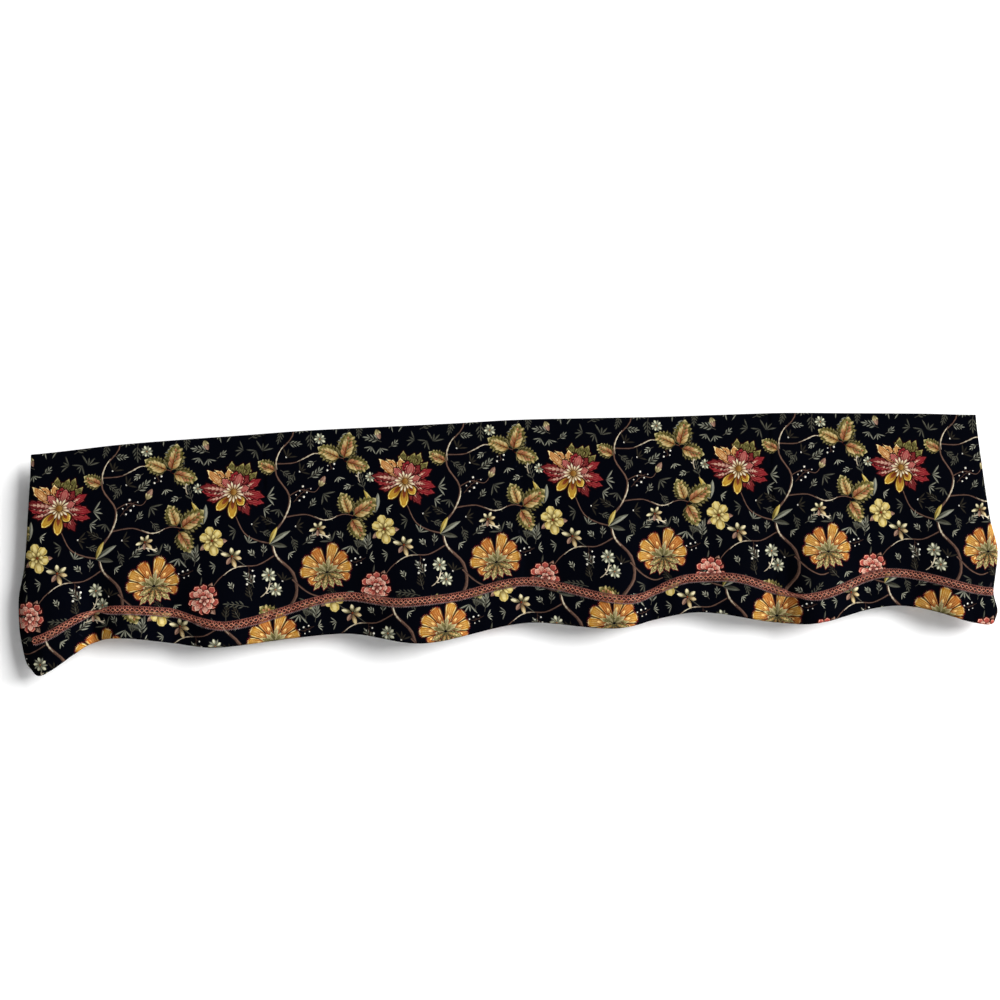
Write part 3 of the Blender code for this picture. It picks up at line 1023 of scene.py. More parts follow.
MOTIFS = (
    # motif, its settings, across, up and turn in degrees; then its size if that isn't 1, and
    # True if it is mirrored
    (lances, (), -62, -172, 24),
    (lances, (("lance yellow", "grey green", "dim green"),), 66, -222, -60, 0.95, True),
    (lances, (("dim green", "grey green", "dim green"),), 262, -240, 30, 0.8, True),
    (sprig, ("dim green",), -92, -60, 30),
    (sprig, (), -44, -30, 64),
    (sprig, ("dim green", 4, 44, 15), 34, -8, -64, 0.95, True),
    (tuft, ("dim green",), 60, -34, -20),
    (sprig, (), 148, -96, -66),
    (sprig, ("dim green", 4, 44, 15), 262, -128, 20, 1.0, True),
    (tuft, (), 66, -126, -84),
    (tuft, (), 58, -150, -110, 0.8),
    (sprig, (), 132, -228, -60, 0.95),
    (sprig, ("dim green", 4, 46, 15), 240, -250, -10, 1.0, True),
    (tuft, (), 230, -236, 170),
    (sprig, (), 32, -306, 20),
    (sprig, ("dim green", 4, 46, 15), 20, -344, 70),
    (sprig, (), 246, -336, -40),
    (tuft, ("dim green",), 268, -300, -60),
    (sprig, ("dim green", 4, 42, 14), 134, -386, -30, 1.0, True),
    (sprig, (), 236, -2, 150, 1.0, True),
    (sprig, ("dim green",), 160, 0, 168),
    (tuft, ("dim green",), 178, -128, -130),
    (tuft, (), 24, -216, -40, 0.8, True),
    (sprig, (), -84, -254, -14),
    (tuft, ("dim green",), 190, -226, 40),
    (sprig, (), 110, -20, -110, 0.8),
    (thorn_twig, (), 148, -212, -70, 0.9),
    (thorn_twig, (), 44, -326, -64, 0.8, True),
    (thorn_twig, (), 252, -110, 24, 0.8),
    (berries, (7,), 118, -142, -38),
    (berries, (6,), 24, -262, 176, 1.0, True),
    (berries, (6,), 196, -50, 170, 0.9, True),
    (berries, (5,), -86, -262, 120, 0.9),
    (broad_leaf, (), 222, -60, -20),
    (broad_leaf, ("leaf cream",), 214, -58, 66, 0.9, True),
    (broad_leaf, (), 226, -66, -112, 0.9),
    (broad_leaf, (), 236, -176, -60, 1.05),
    (broad_leaf, (), 232, -182, -150, 0.9, True),
    (broad_leaf, ("leaf cream",), 228, -172, 14, 0.85),
    (broad_leaf, (), 84, -76, 62, 0.72, True),
    (broad_leaf, (), 76, -380, 40, 0.9),
    (bud, (), 172, -112, -30),
    (bud, (), -36, -222, 50),
    (bud, (), 290, -6, 200, 0.9),
    (blossom, (), -46, -206, 10, 1.05),
    (spray, (), -8, -240, 0),
    (spray, (), 164, -198, 30, 0.8),
    (star_blossom, (), 62, -284, 12),
    (star_blossom, (), 74, -314, 0, 0.95),
    (star_blossom, (), 176, -18, 20, 0.8),
    (star_blossom, (), -70, -100, 0, 0.7),
    (coral_flower, (), -66, -322, 0, 1.1),
    (spray, ("pale petal", 16), -16, -394, 0),
    (gold_bloom, (), 178, -288, 4),
    (red_bloom, (), 0, -112, -4),
)


def moved(strokes, x, y, turn, size=1.0, mirrored=False):
    """The strokes of a motif set in place."""
    cos, sin = math.cos(math.radians(turn)), math.sin(math.radians(turn))
    flip = -size if mirrored else size

    def to(point):
        px, py = point[0] * flip, point[1] * size
        return (x + px * cos - py * sin, y + px * sin + py * cos)

    return [Stroke([to(p) for p in s.middle], [w * size for w in s.half_widths],
                   [to(p) for p in s.outline], s.ink) for s in strokes]


REPEAT_STROKES = [branch(points, ink, 4, 0.45 if ink == "pale bark" else 0.12)
                  for ink, points in VINE]
for motif, settings, *place in MOTIFS:
    REPEAT_STROKES += moved(motif(*settings), *place)
print(len(REPEAT_STROKES), "strokes of the main drawing in a repeat")

# %% [markdown]
# A designer fills the ground that is left with small sprigs, so that no place looks bare. The
# same is done here by measure: each sprig goes to the place that is furthest from everything
# drawn so far.

# %% Filling the ground
FILL_SPRIGS = 60
FILL_LOW, FILL_HIGH = -404, 2


def small_sprig(k):
    """One of the fillers, in turn."""
    kinds = (sprig("light green", 2, 18, 11), tuft("dim green", 17), tuft("grey green", 14),
             sprig("dim green", 3, 26, 13), tuft("light green", 12),
             [disc(1.9, "berry", steps=4)] + tuft("shadow", 18), sprig("grey green", 2, 20, 12),
             sprig("shadow", 3, 28, 15))
    return kinds[k % len(kinds)]


def nearest_ink(cells, points):
    """How far each cell is from the nearest of some points of the repeating drawing."""
    found = np.full(len(cells), np.inf)
    for first in range(0, len(points), 400):
        gap = cells[:, None, :] - points[None, first:first + 400, :]
        gap[..., 0] -= REPEAT * np.round(gap[..., 0] / REPEAT)
        found = np.minimum(found, np.hypot(gap[..., 0], gap[..., 1]).min(axis=1))
    return found


def drawn_points(strokes):
    return np.array([p for stroke in strokes for p in stroke.outline + stroke.middle])


cells = np.stack(np.meshgrid(np.arange(0.0, REPEAT, 3.0), np.arange(FILL_LOW, FILL_HIGH, 3.0)),
                 axis=-1).reshape(-1, 2)
room = nearest_ink(cells, drawn_points(REPEAT_STROKES))
fillers = []
for k in range(FILL_SPRIGS):
    x, y = cells[room.argmax()]
    turn = 47.0 * k % 360
    foot_x, foot_y = around(9, turn - 90)
    more = moved(small_sprig(k), x + foot_x, y + foot_y, turn, 1.0, bool(k % 2))
    fillers += more
    room = np.minimum(room, nearest_ink(cells, drawn_points(more)))
REPEAT_STROKES = fillers + REPEAT_STROKES
print(len(REPEAT_STROKES), "strokes in a repeat, and the largest bare place is",
      round(2 * float(room.max())), "mm across")

# %% [markdown]
# ## Print and cloth in one mesh
# To print the cloth, the outlines of all strokes are drawn into the flat piece with a
# constrained Delaunay triangulation. It keeps every outline as edges of the mesh, so each
# triangle lies in one ink. The folds need points too: rows along each turning, and a grid whose
# columns are closer than its rows, because the folds run down the cloth. The columns are closest
# at the side bends and the sharpest folds. The band was cut from another place of the same cloth,
# so its print doesn't match the panel's at the seam.

# %% Strokes on a cut piece
PRINT_PLACES_MM = {
    # piece: across and drop of the drawing's corner
    "panel": (114.0, 0.0),
    "band": (4.0, 132.0),
}


def strokes_on(piece, outline):
    """The strokes that fall on a piece, in metres across and down the cloth."""
    low, high = outline.min(axis=0), outline.max(axis=0)
    corner_x, corner_y = PRINT_PLACES_MM[piece.name]
    found = []
    for stroke in REPEAT_STROKES:
        for k in range(-4, 5):
            place = np.array([corner_x + k * REPEAT, corner_y])
            ring = (place + np.array(stroke.outline) * (1, -1)) * MM
            if (ring.max(axis=0) > low).all() and (ring.min(axis=0) < high).all():
                middle = (place + np.array(stroke.middle) * (1, -1)) * MM
                found.append(Stroke(middle, np.array(stroke.half_widths) * MM, ring,
                                    INK_NAMES.index(stroke.ink)))
    return found


def inside(outline, points):
    """Which points lie inside a closed outline."""
    x0, y0 = outline.T
    x1, y1 = np.roll(x0, -1), np.roll(y0, -1)
    rise = np.where(y1 == y0, 1.0, y1 - y0)
    found = np.zeros(len(points), bool)
    for first in range(0, len(points), 4000):
        x, y = points[first:first + 4000, :1], points[first:first + 4000, 1:]
        crosses = (y0 > y) != (y1 > y)
        found[first:first + 4000] = (crosses & (x < x0 + (y - y0) / rise * (x1 - x0))).sum(1) % 2
    return found


def stroke_measures(stroke, points):
    """Share along (0 to 1), share across (-1 to 1) and half width of points in a stroke."""
    start, step = stroke.middle[:-1], np.diff(stroke.middle, axis=0)
    length = np.linalg.norm(step, axis=1)
    away = points[:, None, :] - start
    t = np.clip((away * step).sum(axis=2) / length ** 2, 0.0, 1.0)
    gap = np.linalg.norm(away - t[..., None] * step, axis=2)
    best = gap.argmin(axis=1)
    rows = np.arange(len(points))
    t, away, step = t[rows, best], away[rows, best], step[best]
    across = (step[:, 0] * away[:, 1] - step[:, 1] * away[:, 0]) / length[best]
    half = stroke.half_widths[best] * (1 - t) + stroke.half_widths[best + 1] * t
    share = np.clip(across / np.maximum(half, 0.05 * MM), -1.0, 1.0)
    return np.stack([(best + t) / len(length), share, half], axis=1)


print("strokes on the panel:", len(strokes_on(PANEL, PATTERNS["panel"])))

# %% Fold rows and grid points
COLUMN_STEP, GRID_ROW_STEP = 6 * MM, 22 * MM
BEND_GRID = 4 * MM
FLAT_ABOVE = 190 * MM              # above this the cloth hangs nearly flat
SHARP_PLACES_MM = (-866, -508, 2, 262, 527, 549)     # creases and sharp folds
SHARP_OFFSETS_MM = np.arange(-15, 16, 3)
ROW_STEP = 9 * MM
SAME_PLACE, NO_AREA = 1e-6, 1e-12  # points that count as one, and triangles that are left out


def guide_lines(piece, outline):
    """Rows and columns of points along the turnings, which the mesh keeps as edges."""
    left, right = outline[:, 0].min() - MM, outline[:, 0].max() + MM
    places = np.linspace(left, right, round((right - left) / ROW_STEP))
    lines = []
    for turning, sign in ((piece.top, -1), (piece.bottom, 1)):
        folds = 8 if turning.radius > 2 * MM else 4
        for k in range(folds + 1):
            folded, _depth = side_folded(piece, places, turning.line(places), 0.0 * places)
            run = turning.radius * (math.pi * k / folds - 1.0)
            lines.append(np.stack([places, turning.line(folded) + sign * run], axis=1))
    low, high = outline[:, 1].min() - MM, outline[:, 1].max() + MM
    drops = np.linspace(low, high, round((high - low) / ROW_STEP))
    for side in (-1, 1):
        edge = side_cut(piece, side, drops) - side * flat_reach(SIDE_TURNING)
        for k in range(5):
            run = SIDE_TURNING.radius * (math.pi * k / 4 - 1.0)
            lines.append(np.stack([edge + side * run, drops], axis=1))
    return lines


def grid_columns(reach, step):
    """Columns of the grid, closer at the side bends, the creases and the sharpest folds."""
    columns = list(np.arange(-SIDE_START, SIDE_START, step))
    for side in (-1, 1):
        columns += list(side * np.arange(SIDE_START, reach, BEND_GRID))
    for place in SHARP_PLACES_MM:
        columns += list((place + SHARP_OFFSETS_MM) * MM)
    columns = np.sort(columns)
    return columns[np.concatenate([[True], np.diff(columns) > 1.5 * MM])]


def grid_points(outline):
    """Points spread over a piece. The folds run down, so columns are closer than rows."""
    reach = np.abs(outline[:, 0]).max()
    close, wide = grid_columns(reach, COLUMN_STEP), grid_columns(reach, 2 * COLUMN_STEP)
    points = []
    for drop in np.arange(outline[:, 1].min(), outline[:, 1].max(), GRID_ROW_STEP):
        points += [(across, drop) for across in (close if drop > FLAT_ABOVE else wide)]
    points = np.array(points)
    return points[inside(outline, points)]


def triangulated(outline, rings, lines, points):
    """Triangles inside an outline that keep the rings and lines as edges."""
    coords, edges = [], []
    for ring, closed in ([(outline, True)] + [(r, True) for r in rings]
                         + [(line, False) for line in lines]):
        first = len(coords)
        coords += [Vector(p) for p in ring]
        edges += [(first + k, first + k + 1) for k in range(len(ring) - 1)]
        if closed:
            edges.append((len(coords) - 1, first))
    coords += [Vector(p) for p in points]
    found = delaunay_2d_cdt(coords, edges, [], 0, SAME_PLACE, False)
    places = np.array([p[:] for p in found[0]])
    faces = np.array(found[2])
    faces = faces[inside(outline, places[faces].mean(axis=1))]
    a, b, c = (places[faces[:, k]] for k in range(3))
    area = (b - a)[:, 0] * (c - a)[:, 1] - (b - a)[:, 1] * (c - a)[:, 0]
    faces[area < 0] = faces[area < 0][:, ::-1]
    faces = faces[np.abs(area) > NO_AREA]
    used = np.unique(faces)
    renamed = np.zeros(len(places), int)
    renamed[used] = np.arange(len(used))
    return places[used], renamed[faces]


def boundary_loop(faces):
    """The outer edge of a triangulated piece, as vertex numbers in order."""
    edges = np.concatenate([faces[:, [0, 1]], faces[:, [1, 2]], faces[:, [2, 0]]])
    count = faces.max() + 1
    codes, mirrored = edges[:, 0] * count + edges[:, 1], edges[:, 1] * count + edges[:, 0]
    follows = dict(edges[~np.isin(codes, mirrored)].tolist())
    loop = [min(follows)]
    while follows[loop[-1]] != loop[0]:
        loop.append(follows[loop[-1]])
    return np.array(loop)


def zipped(places, first, second):
    """Triangles between two loops of points that run side by side."""
    ends = []
    for loop in (first, second):
        steps = np.linalg.norm(np.roll(places[loop], -1, axis=0) - places[loop], axis=1)
        ends.append(np.cumsum(steps) / steps.sum())
    faces, i, j = [], 0, 0
    while i < len(first) or j < len(second):
        a, b = first[i % len(first)], second[j % len(second)]
        if j == len(second) or (i < len(first) and ends[0][i] <= ends[1][j]):
            i += 1
            faces.append((a, first[i % len(first)], b))
        else:
            j += 1
            faces.append((a, second[j % len(second)], b))
    return np.array(faces)


print("grid points on the panel:", len(grid_points(PATTERNS["panel"])))

# %% [markdown]
# Each triangle takes the ink of the topmost stroke it lies in. The inks go on the triangles as
# colours. Where a corner lies in its stroke goes on the triangle's corners, and the material
# draws the streaks and veins from it.

# %% Inking the triangles
def inked(strokes, places, faces):
    """The ink of each triangle, and the stroke measures of its corners."""
    middles = places[faces].mean(axis=1)
    order = np.argsort(middles[:, 0])
    ordered = middles[order, 0]
    topmost = np.full(len(faces), -1)
    for number, stroke in enumerate(strokes):
        low, high = stroke.outline.min(axis=0), stroke.outline.max(axis=0)
        near = order[np.searchsorted(ordered, low[0]):np.searchsorted(ordered, high[0])]
        near = near[(middles[near, 1] > low[1]) & (middles[near, 1] < high[1])]
        topmost[near[inside(stroke.outline, middles[near])]] = number
    inks = np.zeros(len(faces), int)
    measures = np.zeros((len(faces), 3, 3))
    order = np.argsort(topmost, kind="stable")
    starts = np.searchsorted(topmost[order], np.arange(len(strokes) + 1))
    for number, stroke in enumerate(strokes):
        mine = order[starts[number]:starts[number + 1]]
        if len(mine):
            inks[mine] = stroke.ink
            corners = places[faces[mine]].reshape(-1, 2)
            measures[mine] = stroke_measures(stroke, corners).reshape(-1, 3, 3)
    return inks, measures


def add_values(mesh, name, kind, domain, values):
    """Store one value for each point, face or corner of a mesh."""
    field = {"FLOAT": "value", "FLOAT_COLOR": "color", "FLOAT_VECTOR": "vector"}[kind]
    layer = mesh.attributes.new(name, kind, domain)
    layer.data.foreach_set(field, np.ascontiguousarray(values, np.float32).ravel())


# Each colour's fourth value carries one of the ink's strengths.
INK_COLOURS = {
    f"ink_{part}": np.array([(*linear(getattr(ink, part))[:3], getattr(ink, strength))
                             for ink in INKS.values()])
    for part, strength in (("foot", "glow"), ("tip", "specks"), ("lines", "edge"))}
INK_COLOURS["ink_marks"] = np.array([(ink.streaks, ink.ribs, ink.shade, ink.rim)
                                     for ink in INKS.values()])
print("ink colours:", ", ".join(INK_COLOURS))

# %% [markdown]
# ## Building a cut piece
# A sheet of real cloth has a printed face, a duller reverse and a thickness. The face carries
# the outlines of the print. The reverse is plain, so it has only the fold rows and the grid,
# which keeps it light. A rim joins their edges. The normals are worked out from the smooth
# surface itself, so the many small triangles of the print don't show in the light.

# %% Cloth from a pattern
def normals_on(piece, places, depth):
    """Unit vectors out of the printed face at places on a cut piece."""
    step = 0.2 * MM
    across, drop = places.T
    along = laid(piece, across + step, drop, depth) - laid(piece, across - step, drop, depth)
    down = laid(piece, across, drop + step, depth) - laid(piece, across, drop - step, depth)
    return -unit(np.cross(along, down))


BAKE_ROWS = {"panel": 2, "band": 3}
BAKE_GAP = 0.004                   # between the rows, as a share of the map
TURNED_ROOM = 24 * MM              # a row is this much longer than its share of the cloth


def bake_places(flat, triangles, face_count, rows):
    """Where each corner lies on a square map: the face in rows, and the reverse below them."""
    low, size = flat.min(axis=0), np.ptp(flat, axis=0)
    corners = flat[triangles] - low
    row = np.clip(corners.mean(axis=1)[:, 0] * rows // size[0], 0, rows - 1)
    row[face_count:] = rows
    scale = 0.96 / (size[0] / rows + TURNED_ROOM)
    places = corners * scale
    places[..., 0] += 0.02 - (row * size[0] / rows * scale)[:, None]
    places[face_count:] = corners[face_count:] * 0.98 / size[0]
    places[face_count:, :, 0] += 0.01
    places[..., 1] += (row * (size[1] * scale + BAKE_GAP))[:, None] + BAKE_GAP
    return places


def build_cloth(piece):
    """Build a cut piece with its print, turnings and reverse."""
    outline = PATTERNS[piece.name]
    strokes = strokes_on(piece, outline)
    lines = guide_lines(piece, outline)
    grid = grid_points(outline)
    places, faces = triangulated(outline, [s.outline for s in strokes], lines, grid)
    loop = boundary_loop(faces)
    back_places, back_faces = triangulated(places[loop], [], lines, grid)
    back_loop = boundary_loop(back_faces)
    first = np.linalg.norm(back_places[back_loop] - places[loop[0]], axis=1).argmin()
    back_loop = np.roll(back_loop, -first)

    half = CLOTH_THICK / 2
    front = laid(piece, *places.T, -half)
    back = laid(piece, *back_places.T, half)
    points = np.concatenate([front, back])
    flat = np.concatenate([places, back_places])
    rim = zipped(flat, loop, back_loop + len(front))
    triangles = np.concatenate([faces[:, ::-1], back_faces + len(front), rim])

    mesh = bpy.data.meshes.new(piece.name)
    mesh.vertices.add(len(points))
    mesh.vertices.foreach_set("co", points.astype(np.float32).ravel())
    mesh.loops.add(triangles.size)
    mesh.loops.foreach_set("vertex_index", triangles.astype(np.int32).ravel())
    mesh.polygons.add(len(triangles))
    mesh.polygons.foreach_set("loop_start", np.arange(0, triangles.size, 3, dtype=np.int32))
    plain = np.arange(len(triangles)) >= len(faces)
    mesh.polygons.foreach_set("material_index", plain.astype(np.int32))
    mesh.update(calc_edges=True)
    mesh.polygons.foreach_set("use_smooth", np.ones(len(triangles), bool))

    inks, measures = inked(strokes, places, faces)
    inks = np.concatenate([inks, np.zeros(plain.sum(), int)])
    measures = np.concatenate([measures[:, ::-1], np.zeros((plain.sum(), 3, 3))])
    for name, colours in INK_COLOURS.items():
        add_values(mesh, name, "FLOAT_COLOR", "FACE", colours[inks])
    add_values(mesh, "stroke", "FLOAT_VECTOR", "CORNER", measures)

    baking = bake_places(flat, triangles, len(faces), BAKE_ROWS[piece.name])
    for name, corners in (("cloth", flat[triangles]), ("OFBake", baking)):
        layer = mesh.uv_layers.new(name=name)
        layer.uv.foreach_set("vector", corners.astype(np.float32).ravel())
    facing = np.concatenate([normals_on(piece, places, -half),
                             -normals_on(piece, back_places, half)])[triangles]
    a, b, c = (points[triangles[-len(rim):, k]] for k in range(3))
    facing[-len(rim):] = unit(np.cross(b - a, c - a))[:, None, :]
    mesh.normals_split_custom_set(facing.reshape(-1, 3).astype(np.float32))
    result = add_object(f"printed_{piece.name}", mesh)
    print(result.name, len(strokes), "strokes,", len(triangles), "triangles")
    return result


panel = build_cloth(PANEL)
band = build_cloth(BAND)

# %% [markdown]
# ## Recipes for materials
# A pattern is a chain of small sums, and each sum is a node. Placed one by one they are hard to
# read, so a material's sums are written as a recipe. Each line has a name, the value it starts
# from, and its steps: a Math operation, a noise of a size in millimetres, or a range that turns
# one pair of limits into another. Colours are then laid over one another, as in printing.

# %% Reading a recipe
# The sockets of a Mix node that mixes colours are found by number.
MIX_SHARE, MIX_FIRST, MIX_SECOND, MIX_COLOUR = 0, 6, 7, 2


def follow(tree, known, recipe):
    """Work out each line of a recipe, and keep its result among the known values."""
    for name, start, *steps in recipe:
        value = known[start]
        for step, *others in steps:
            if step == "NOISE":
                size, detail = others
                value = add_node(tree, "ShaderNodeTexNoise", {
                    "Vector": value, "Scale": 1 / (size * MM), "Detail": detail})
                continue
            inputs = [value, *(known.get(other, other) for other in others)]
            if step == "RANGE":
                value = add_node(tree, "ShaderNodeMapRange", inputs,
                                 interpolation_type="SMOOTHSTEP")
            else:
                value = add_node(tree, "ShaderNodeMath", inputs, operation=step)
        known[name] = value


def layered(tree, known, colour, layers):
    """Lay colours over a first one. Each layer has the name of its share, and its colour."""
    for share, top in layers:
        mix = add_node(tree, "ShaderNodeMix", {
            MIX_SHARE: known[share], MIX_FIRST: colour, MIX_SECOND: top}, data_type="RGBA")
        colour = mix.outputs[MIX_COLOUR]
    return colour


print("recipes can be read")

# %% [markdown]
# ## The printed cotton
# Plain-woven cotton is matt, and its dark dye takes up nearly all the light that falls on it.
# The weave is drawn as a small checker of bumps, half a millimetre a thread, from the flat
# measures of the cloth, so that it follows the folds. The same checker also paints shade into
# the colour: a little darker in the gaps between threads and a little lighter on their tops.
# The drawing's fine lines come from the stroke measures: streaks run along a petal, ribs lean
# across a leaf, a shaded half gives a leaf its fold, and a dark rim parts one stroke from the
# next. Ink never covers evenly, so a faint mottle is laid over it all.

# %% Printed cotton
THREAD = 0.5 * MM
TURN = 2 * math.pi                 # a sine repeats at this
WEAVE = (
    ("ridges", "weft", ("MULTIPLY", math.pi / THREAD), ("SINE",)),
    ("height", "warp", ("MULTIPLY", math.pi / THREAD), ("SINE",), ("MULTIPLY", "ridges")),
    ("surface", "uv", ("NOISE", 2.5, 3.0), ("MULTIPLY", 1.5), ("ADD", "height")),
    # the weave also paints shade: the colour is up to 5 % darker in the gaps between threads and
    # lighter on their tops
    ("speckle", "height", ("MULTIPLY", 0.05), ("ADD", 1.0)),
)
PRINTED = (
    ("wobble", "uv", ("NOISE", 6.0, 2.0), ("SUBTRACT", 0.5), ("MULTIPLY", 0.5)),
    ("bent", "across", ("ADD", "wobble")),
    ("to tip", "along", ("RANGE", 0.1, 0.85)),
    # streaks along a petal, which fade towards its tip
    ("fading", "along", ("RANGE", 0.7, 1.0, 1.0, 0.0)),
    ("streaked", "bent", ("MULTIPLY", 2.5 * TURN), ("COSINE",), ("MULTIPLY_ADD", 0.5, 0.5),
     ("POWER", 3.0), ("MULTIPLY", "streaks"), ("MULTIPLY", "fading")),
    # ribs that lean away from the middle
    ("from middle", "across", ("ABSOLUTE",)),
    ("away", "from middle", ("MULTIPLY", -1.2)),
    ("in the middle", "from middle", ("RANGE", 0.3, 0.8, 1.0, 0.0)),
    ("ribbed", "along", ("MULTIPLY_ADD", 7.0, "away"), ("MULTIPLY", TURN), ("COSINE",),
     ("MULTIPLY_ADD", 0.5, 0.5), ("POWER", 2.5), ("MULTIPLY", "ribs"),
     ("MULTIPLY", "in the middle")),
    # one shaded half, and a glow in the middle
    ("shaded", "bent", ("GREATER_THAN", 0.05), ("MULTIPLY", "shade")),
    ("past foot", "along", ("RANGE", 0.25, 0.6)),
    ("before tip", "along", ("RANGE", 0.8, 1.0, 1.0, 0.0)),
    ("glowing", "bent", ("ABSOLUTE",), ("RANGE", 0.15, 0.75, 1.0, 0.0), ("MULTIPLY", "glow"),
     ("MULTIPLY", "past foot"), ("MULTIPLY", "before tip")),
    ("drawn", "streaked", ("MAXIMUM", "ribbed"), ("MAXIMUM", "shaded"), ("MAXIMUM", "glowing")),
    # specks near the foot
    ("grains", "uv", ("NOISE", 2.6, 2.0), ("RANGE", 0.54, 0.60)),
    ("specked", "along", ("MULTIPLY_ADD", -0.9, 1.0), ("MULTIPLY", "grains"),
     ("MULTIPLY", "specks")),
    # how far inside the stroke a place lies, for the light edge and the dark rim
    ("beyond", "along", ("MULTIPLY_ADD", -1.0, 1.0), ("MULTIPLY", 30 * MM)),
    ("inset", "from middle", ("MULTIPLY_ADD", -1.0, 1.0), ("MULTIPLY", "half width"),
     ("MINIMUM", "beyond")),
    ("outer part", "along", ("RANGE", 0.45, 0.8)),
    ("light edge", "inset", ("RANGE", 1.2 * MM, 3.2 * MM, 1.0, 0.0), ("MULTIPLY", "outer part"),
     ("MULTIPLY", "edge")),
    ("rimmed", "half width", ("MULTIPLY_ADD", -0.1, "inset"), ("RANGE", 0.0, 0.6 * MM, 1.0, 0.0),
     ("MULTIPLY", "rim"), ("MULTIPLY", 0.85)),
    ("patchy", "uv", ("NOISE", 9.0, 4.0), ("RANGE", 0.3, 0.75, 0.0, 0.22)),
)
WRONG_SIDE = (
    ("blotches", "uv", ("NOISE", 38.0, 4.0), ("RANGE", 0.52, 0.62, 0.0, 0.6)),
)


def cotton(name, look):
    """A matt woven cotton. look(tree, known) gives its colour, before the weave's painted shade.
    """
    material, tree, shader = new_material(name, {"Roughness": 0.9, "Specular IOR Level": 0.01})
    uv = add_node(tree, "ShaderNodeUVMap", uv_map="cloth")
    axes = add_node(tree, "ShaderNodeSeparateXYZ", [uv])
    known = {"uv": uv, "weft": axes.outputs[0], "warp": axes.outputs[1]}
    follow(tree, known, WEAVE)
    bump = add_node(tree, "ShaderNodeBump", {
        "Strength": 0.25, "Distance": 0.12 * MM, "Height": known["surface"]})
    # The weave's painted shade, darker in the gaps between threads, is multiplied into the colour.
    grey = add_node(tree, "ShaderNodeCombineColor", [known["speckle"]] * 3)
    woven = add_node(tree, "ShaderNodeMix", {
        MIX_SHARE: 1.0, MIX_FIRST: look(tree, known), MIX_SECOND: grey},
        data_type="RGBA", blend_type="MULTIPLY")
    tree.links.new(woven.outputs[MIX_COLOUR], shader.inputs["Base Color"])
    tree.links.new(bump.outputs[0], shader.inputs["Normal"])
    return material


def printed_look(tree, known):
    """The inks of the print, with the fine lines that are drawn on each stroke."""
    foot, tip, lines, marks, stroke = (
        add_node(tree, "ShaderNodeAttribute", attribute_name=name)
        for name in (*INK_COLOURS, "stroke"))
    measures = add_node(tree, "ShaderNodeSeparateXYZ", [stroke.outputs["Vector"]])
    amounts = add_node(tree, "ShaderNodeSeparateColor", [marks.outputs["Color"]])
    known.update(zip(("along", "across", "half width"), measures.outputs))
    known.update(zip(("streaks", "ribs", "shade"), amounts.outputs))
    for name, node in (("glow", foot), ("specks", tip), ("edge", lines), ("rim", marks)):
        known[name] = node.outputs["Alpha"]
    follow(tree, known, PRINTED)
    foot, tip, lines = (node.outputs["Color"] for node in (foot, tip, lines))
    return layered(tree, known, foot, (
        ("to tip", tip), ("drawn", lines), ("specked", foot), ("light edge", lines),
        ("rimmed", linear("#140706")), ("patchy", linear("#050508"))))


def wrong_side_look(tree, known):
    """Dark dye with the print showing through as dull blotches."""
    follow(tree, known, WRONG_SIDE)
    return layered(tree, known, linear("#0B0C13"), [("blotches", linear("#2A2123"))])


# Dyed black cotton gives back hardly any light: only the inks and the faint weave show.
printed_cotton = cotton("plain_woven_cotton_printed", printed_look)
cotton_reverse = cotton("plain_woven_cotton_wrong_side", wrong_side_look)
for piece in (panel, band):
    piece.data.materials.append(printed_cotton)
    piece.data.materials.append(cotton_reverse)
print("printed cotton and its wrong side")

# %% [markdown]
# ## Stitches
# The turnings are held by straight machine stitches, about three millimetres each, in dark
# thread. A stitch is a short bar with tapered ends. They lie on the front of the cloth and
# again on the turning behind it, because a lockstitch looks alike from both sides.

# %% Stitches
STITCH = 3.0 * MM
STITCH_GAP = 1.1 * MM
STITCH_HALF_WIDTH = 0.22 * MM
STITCH_LIFT = 0.25 * MM            # how far its back stands up from the cloth
STITCH_TAPER = ((0.0, 0.4), (0.2, 1.0), (0.8, 1.0), (1.0, 0.4))    # share along, share of size
STITCHES_FROM_TOP = 24 * MM
STITCHES_FROM_HEM = 21 * MM
STITCHES_FROM_SIDE = 18 * MM
STITCH_PATH_STEP = 3 * MM          # between the places that a row of stitches runs through
STITCHED_ACROSS = np.arange(-SIDE_START - 20 * MM, SIDE_START + 20 * MM, STITCH_PATH_STEP)
STITCHED_DOWN = np.arange(6 * MM, 318 * MM, STITCH_PATH_STEP)    # ends above the seam


def on_hung(across, drop, depth):
    return hung(across, drop) + np.asarray(depth)[..., None] * back_direction(across, drop)


def length_along(path):
    """How far along a path each of its points lies."""
    return np.concatenate([[0.0], np.cumsum(np.linalg.norm(np.diff(path, axis=0), axis=1))])


def stitch_row(across, drop, depth):
    """Vertices and faces of a row of stitches along a line of places."""
    path = on_hung(across, drop, np.full_like(across, depth))
    outward = np.sign(depth) * back_direction(across, drop)
    length = length_along(path)
    vertices, faces = [], []
    for start in np.arange(0.5 * MM, length[-1] - STITCH, STITCH + STITCH_GAP):
        ends = [[np.array([np.interp(start + at * STITCH, length, field[:, k]) for k in range(3)])
                 for field in (path, outward)] for at, _ in STITCH_TAPER]
        ahead = unit(ends[3][0] - ends[0][0])
        first = len(vertices)
        for (middle, out), (_, reach) in zip(ends, STITCH_TAPER):
            sideways_on = STITCH_HALF_WIDTH * reach * unit(np.cross(ahead, out))
            raised = STITCH_LIFT * reach * out
            vertices += [middle + sideways_on, middle + raised, middle - sideways_on]
        for a in (first, first + 3, first + 6):
            faces += [(a, a + 3, a + 4, a + 1), (a + 1, a + 4, a + 5, a + 2),
                      (a + 2, a + 5, a + 3, a)]
        faces += [(first, first + 1, first + 2), (first + 11, first + 10, first + 9)]
    return vertices, faces


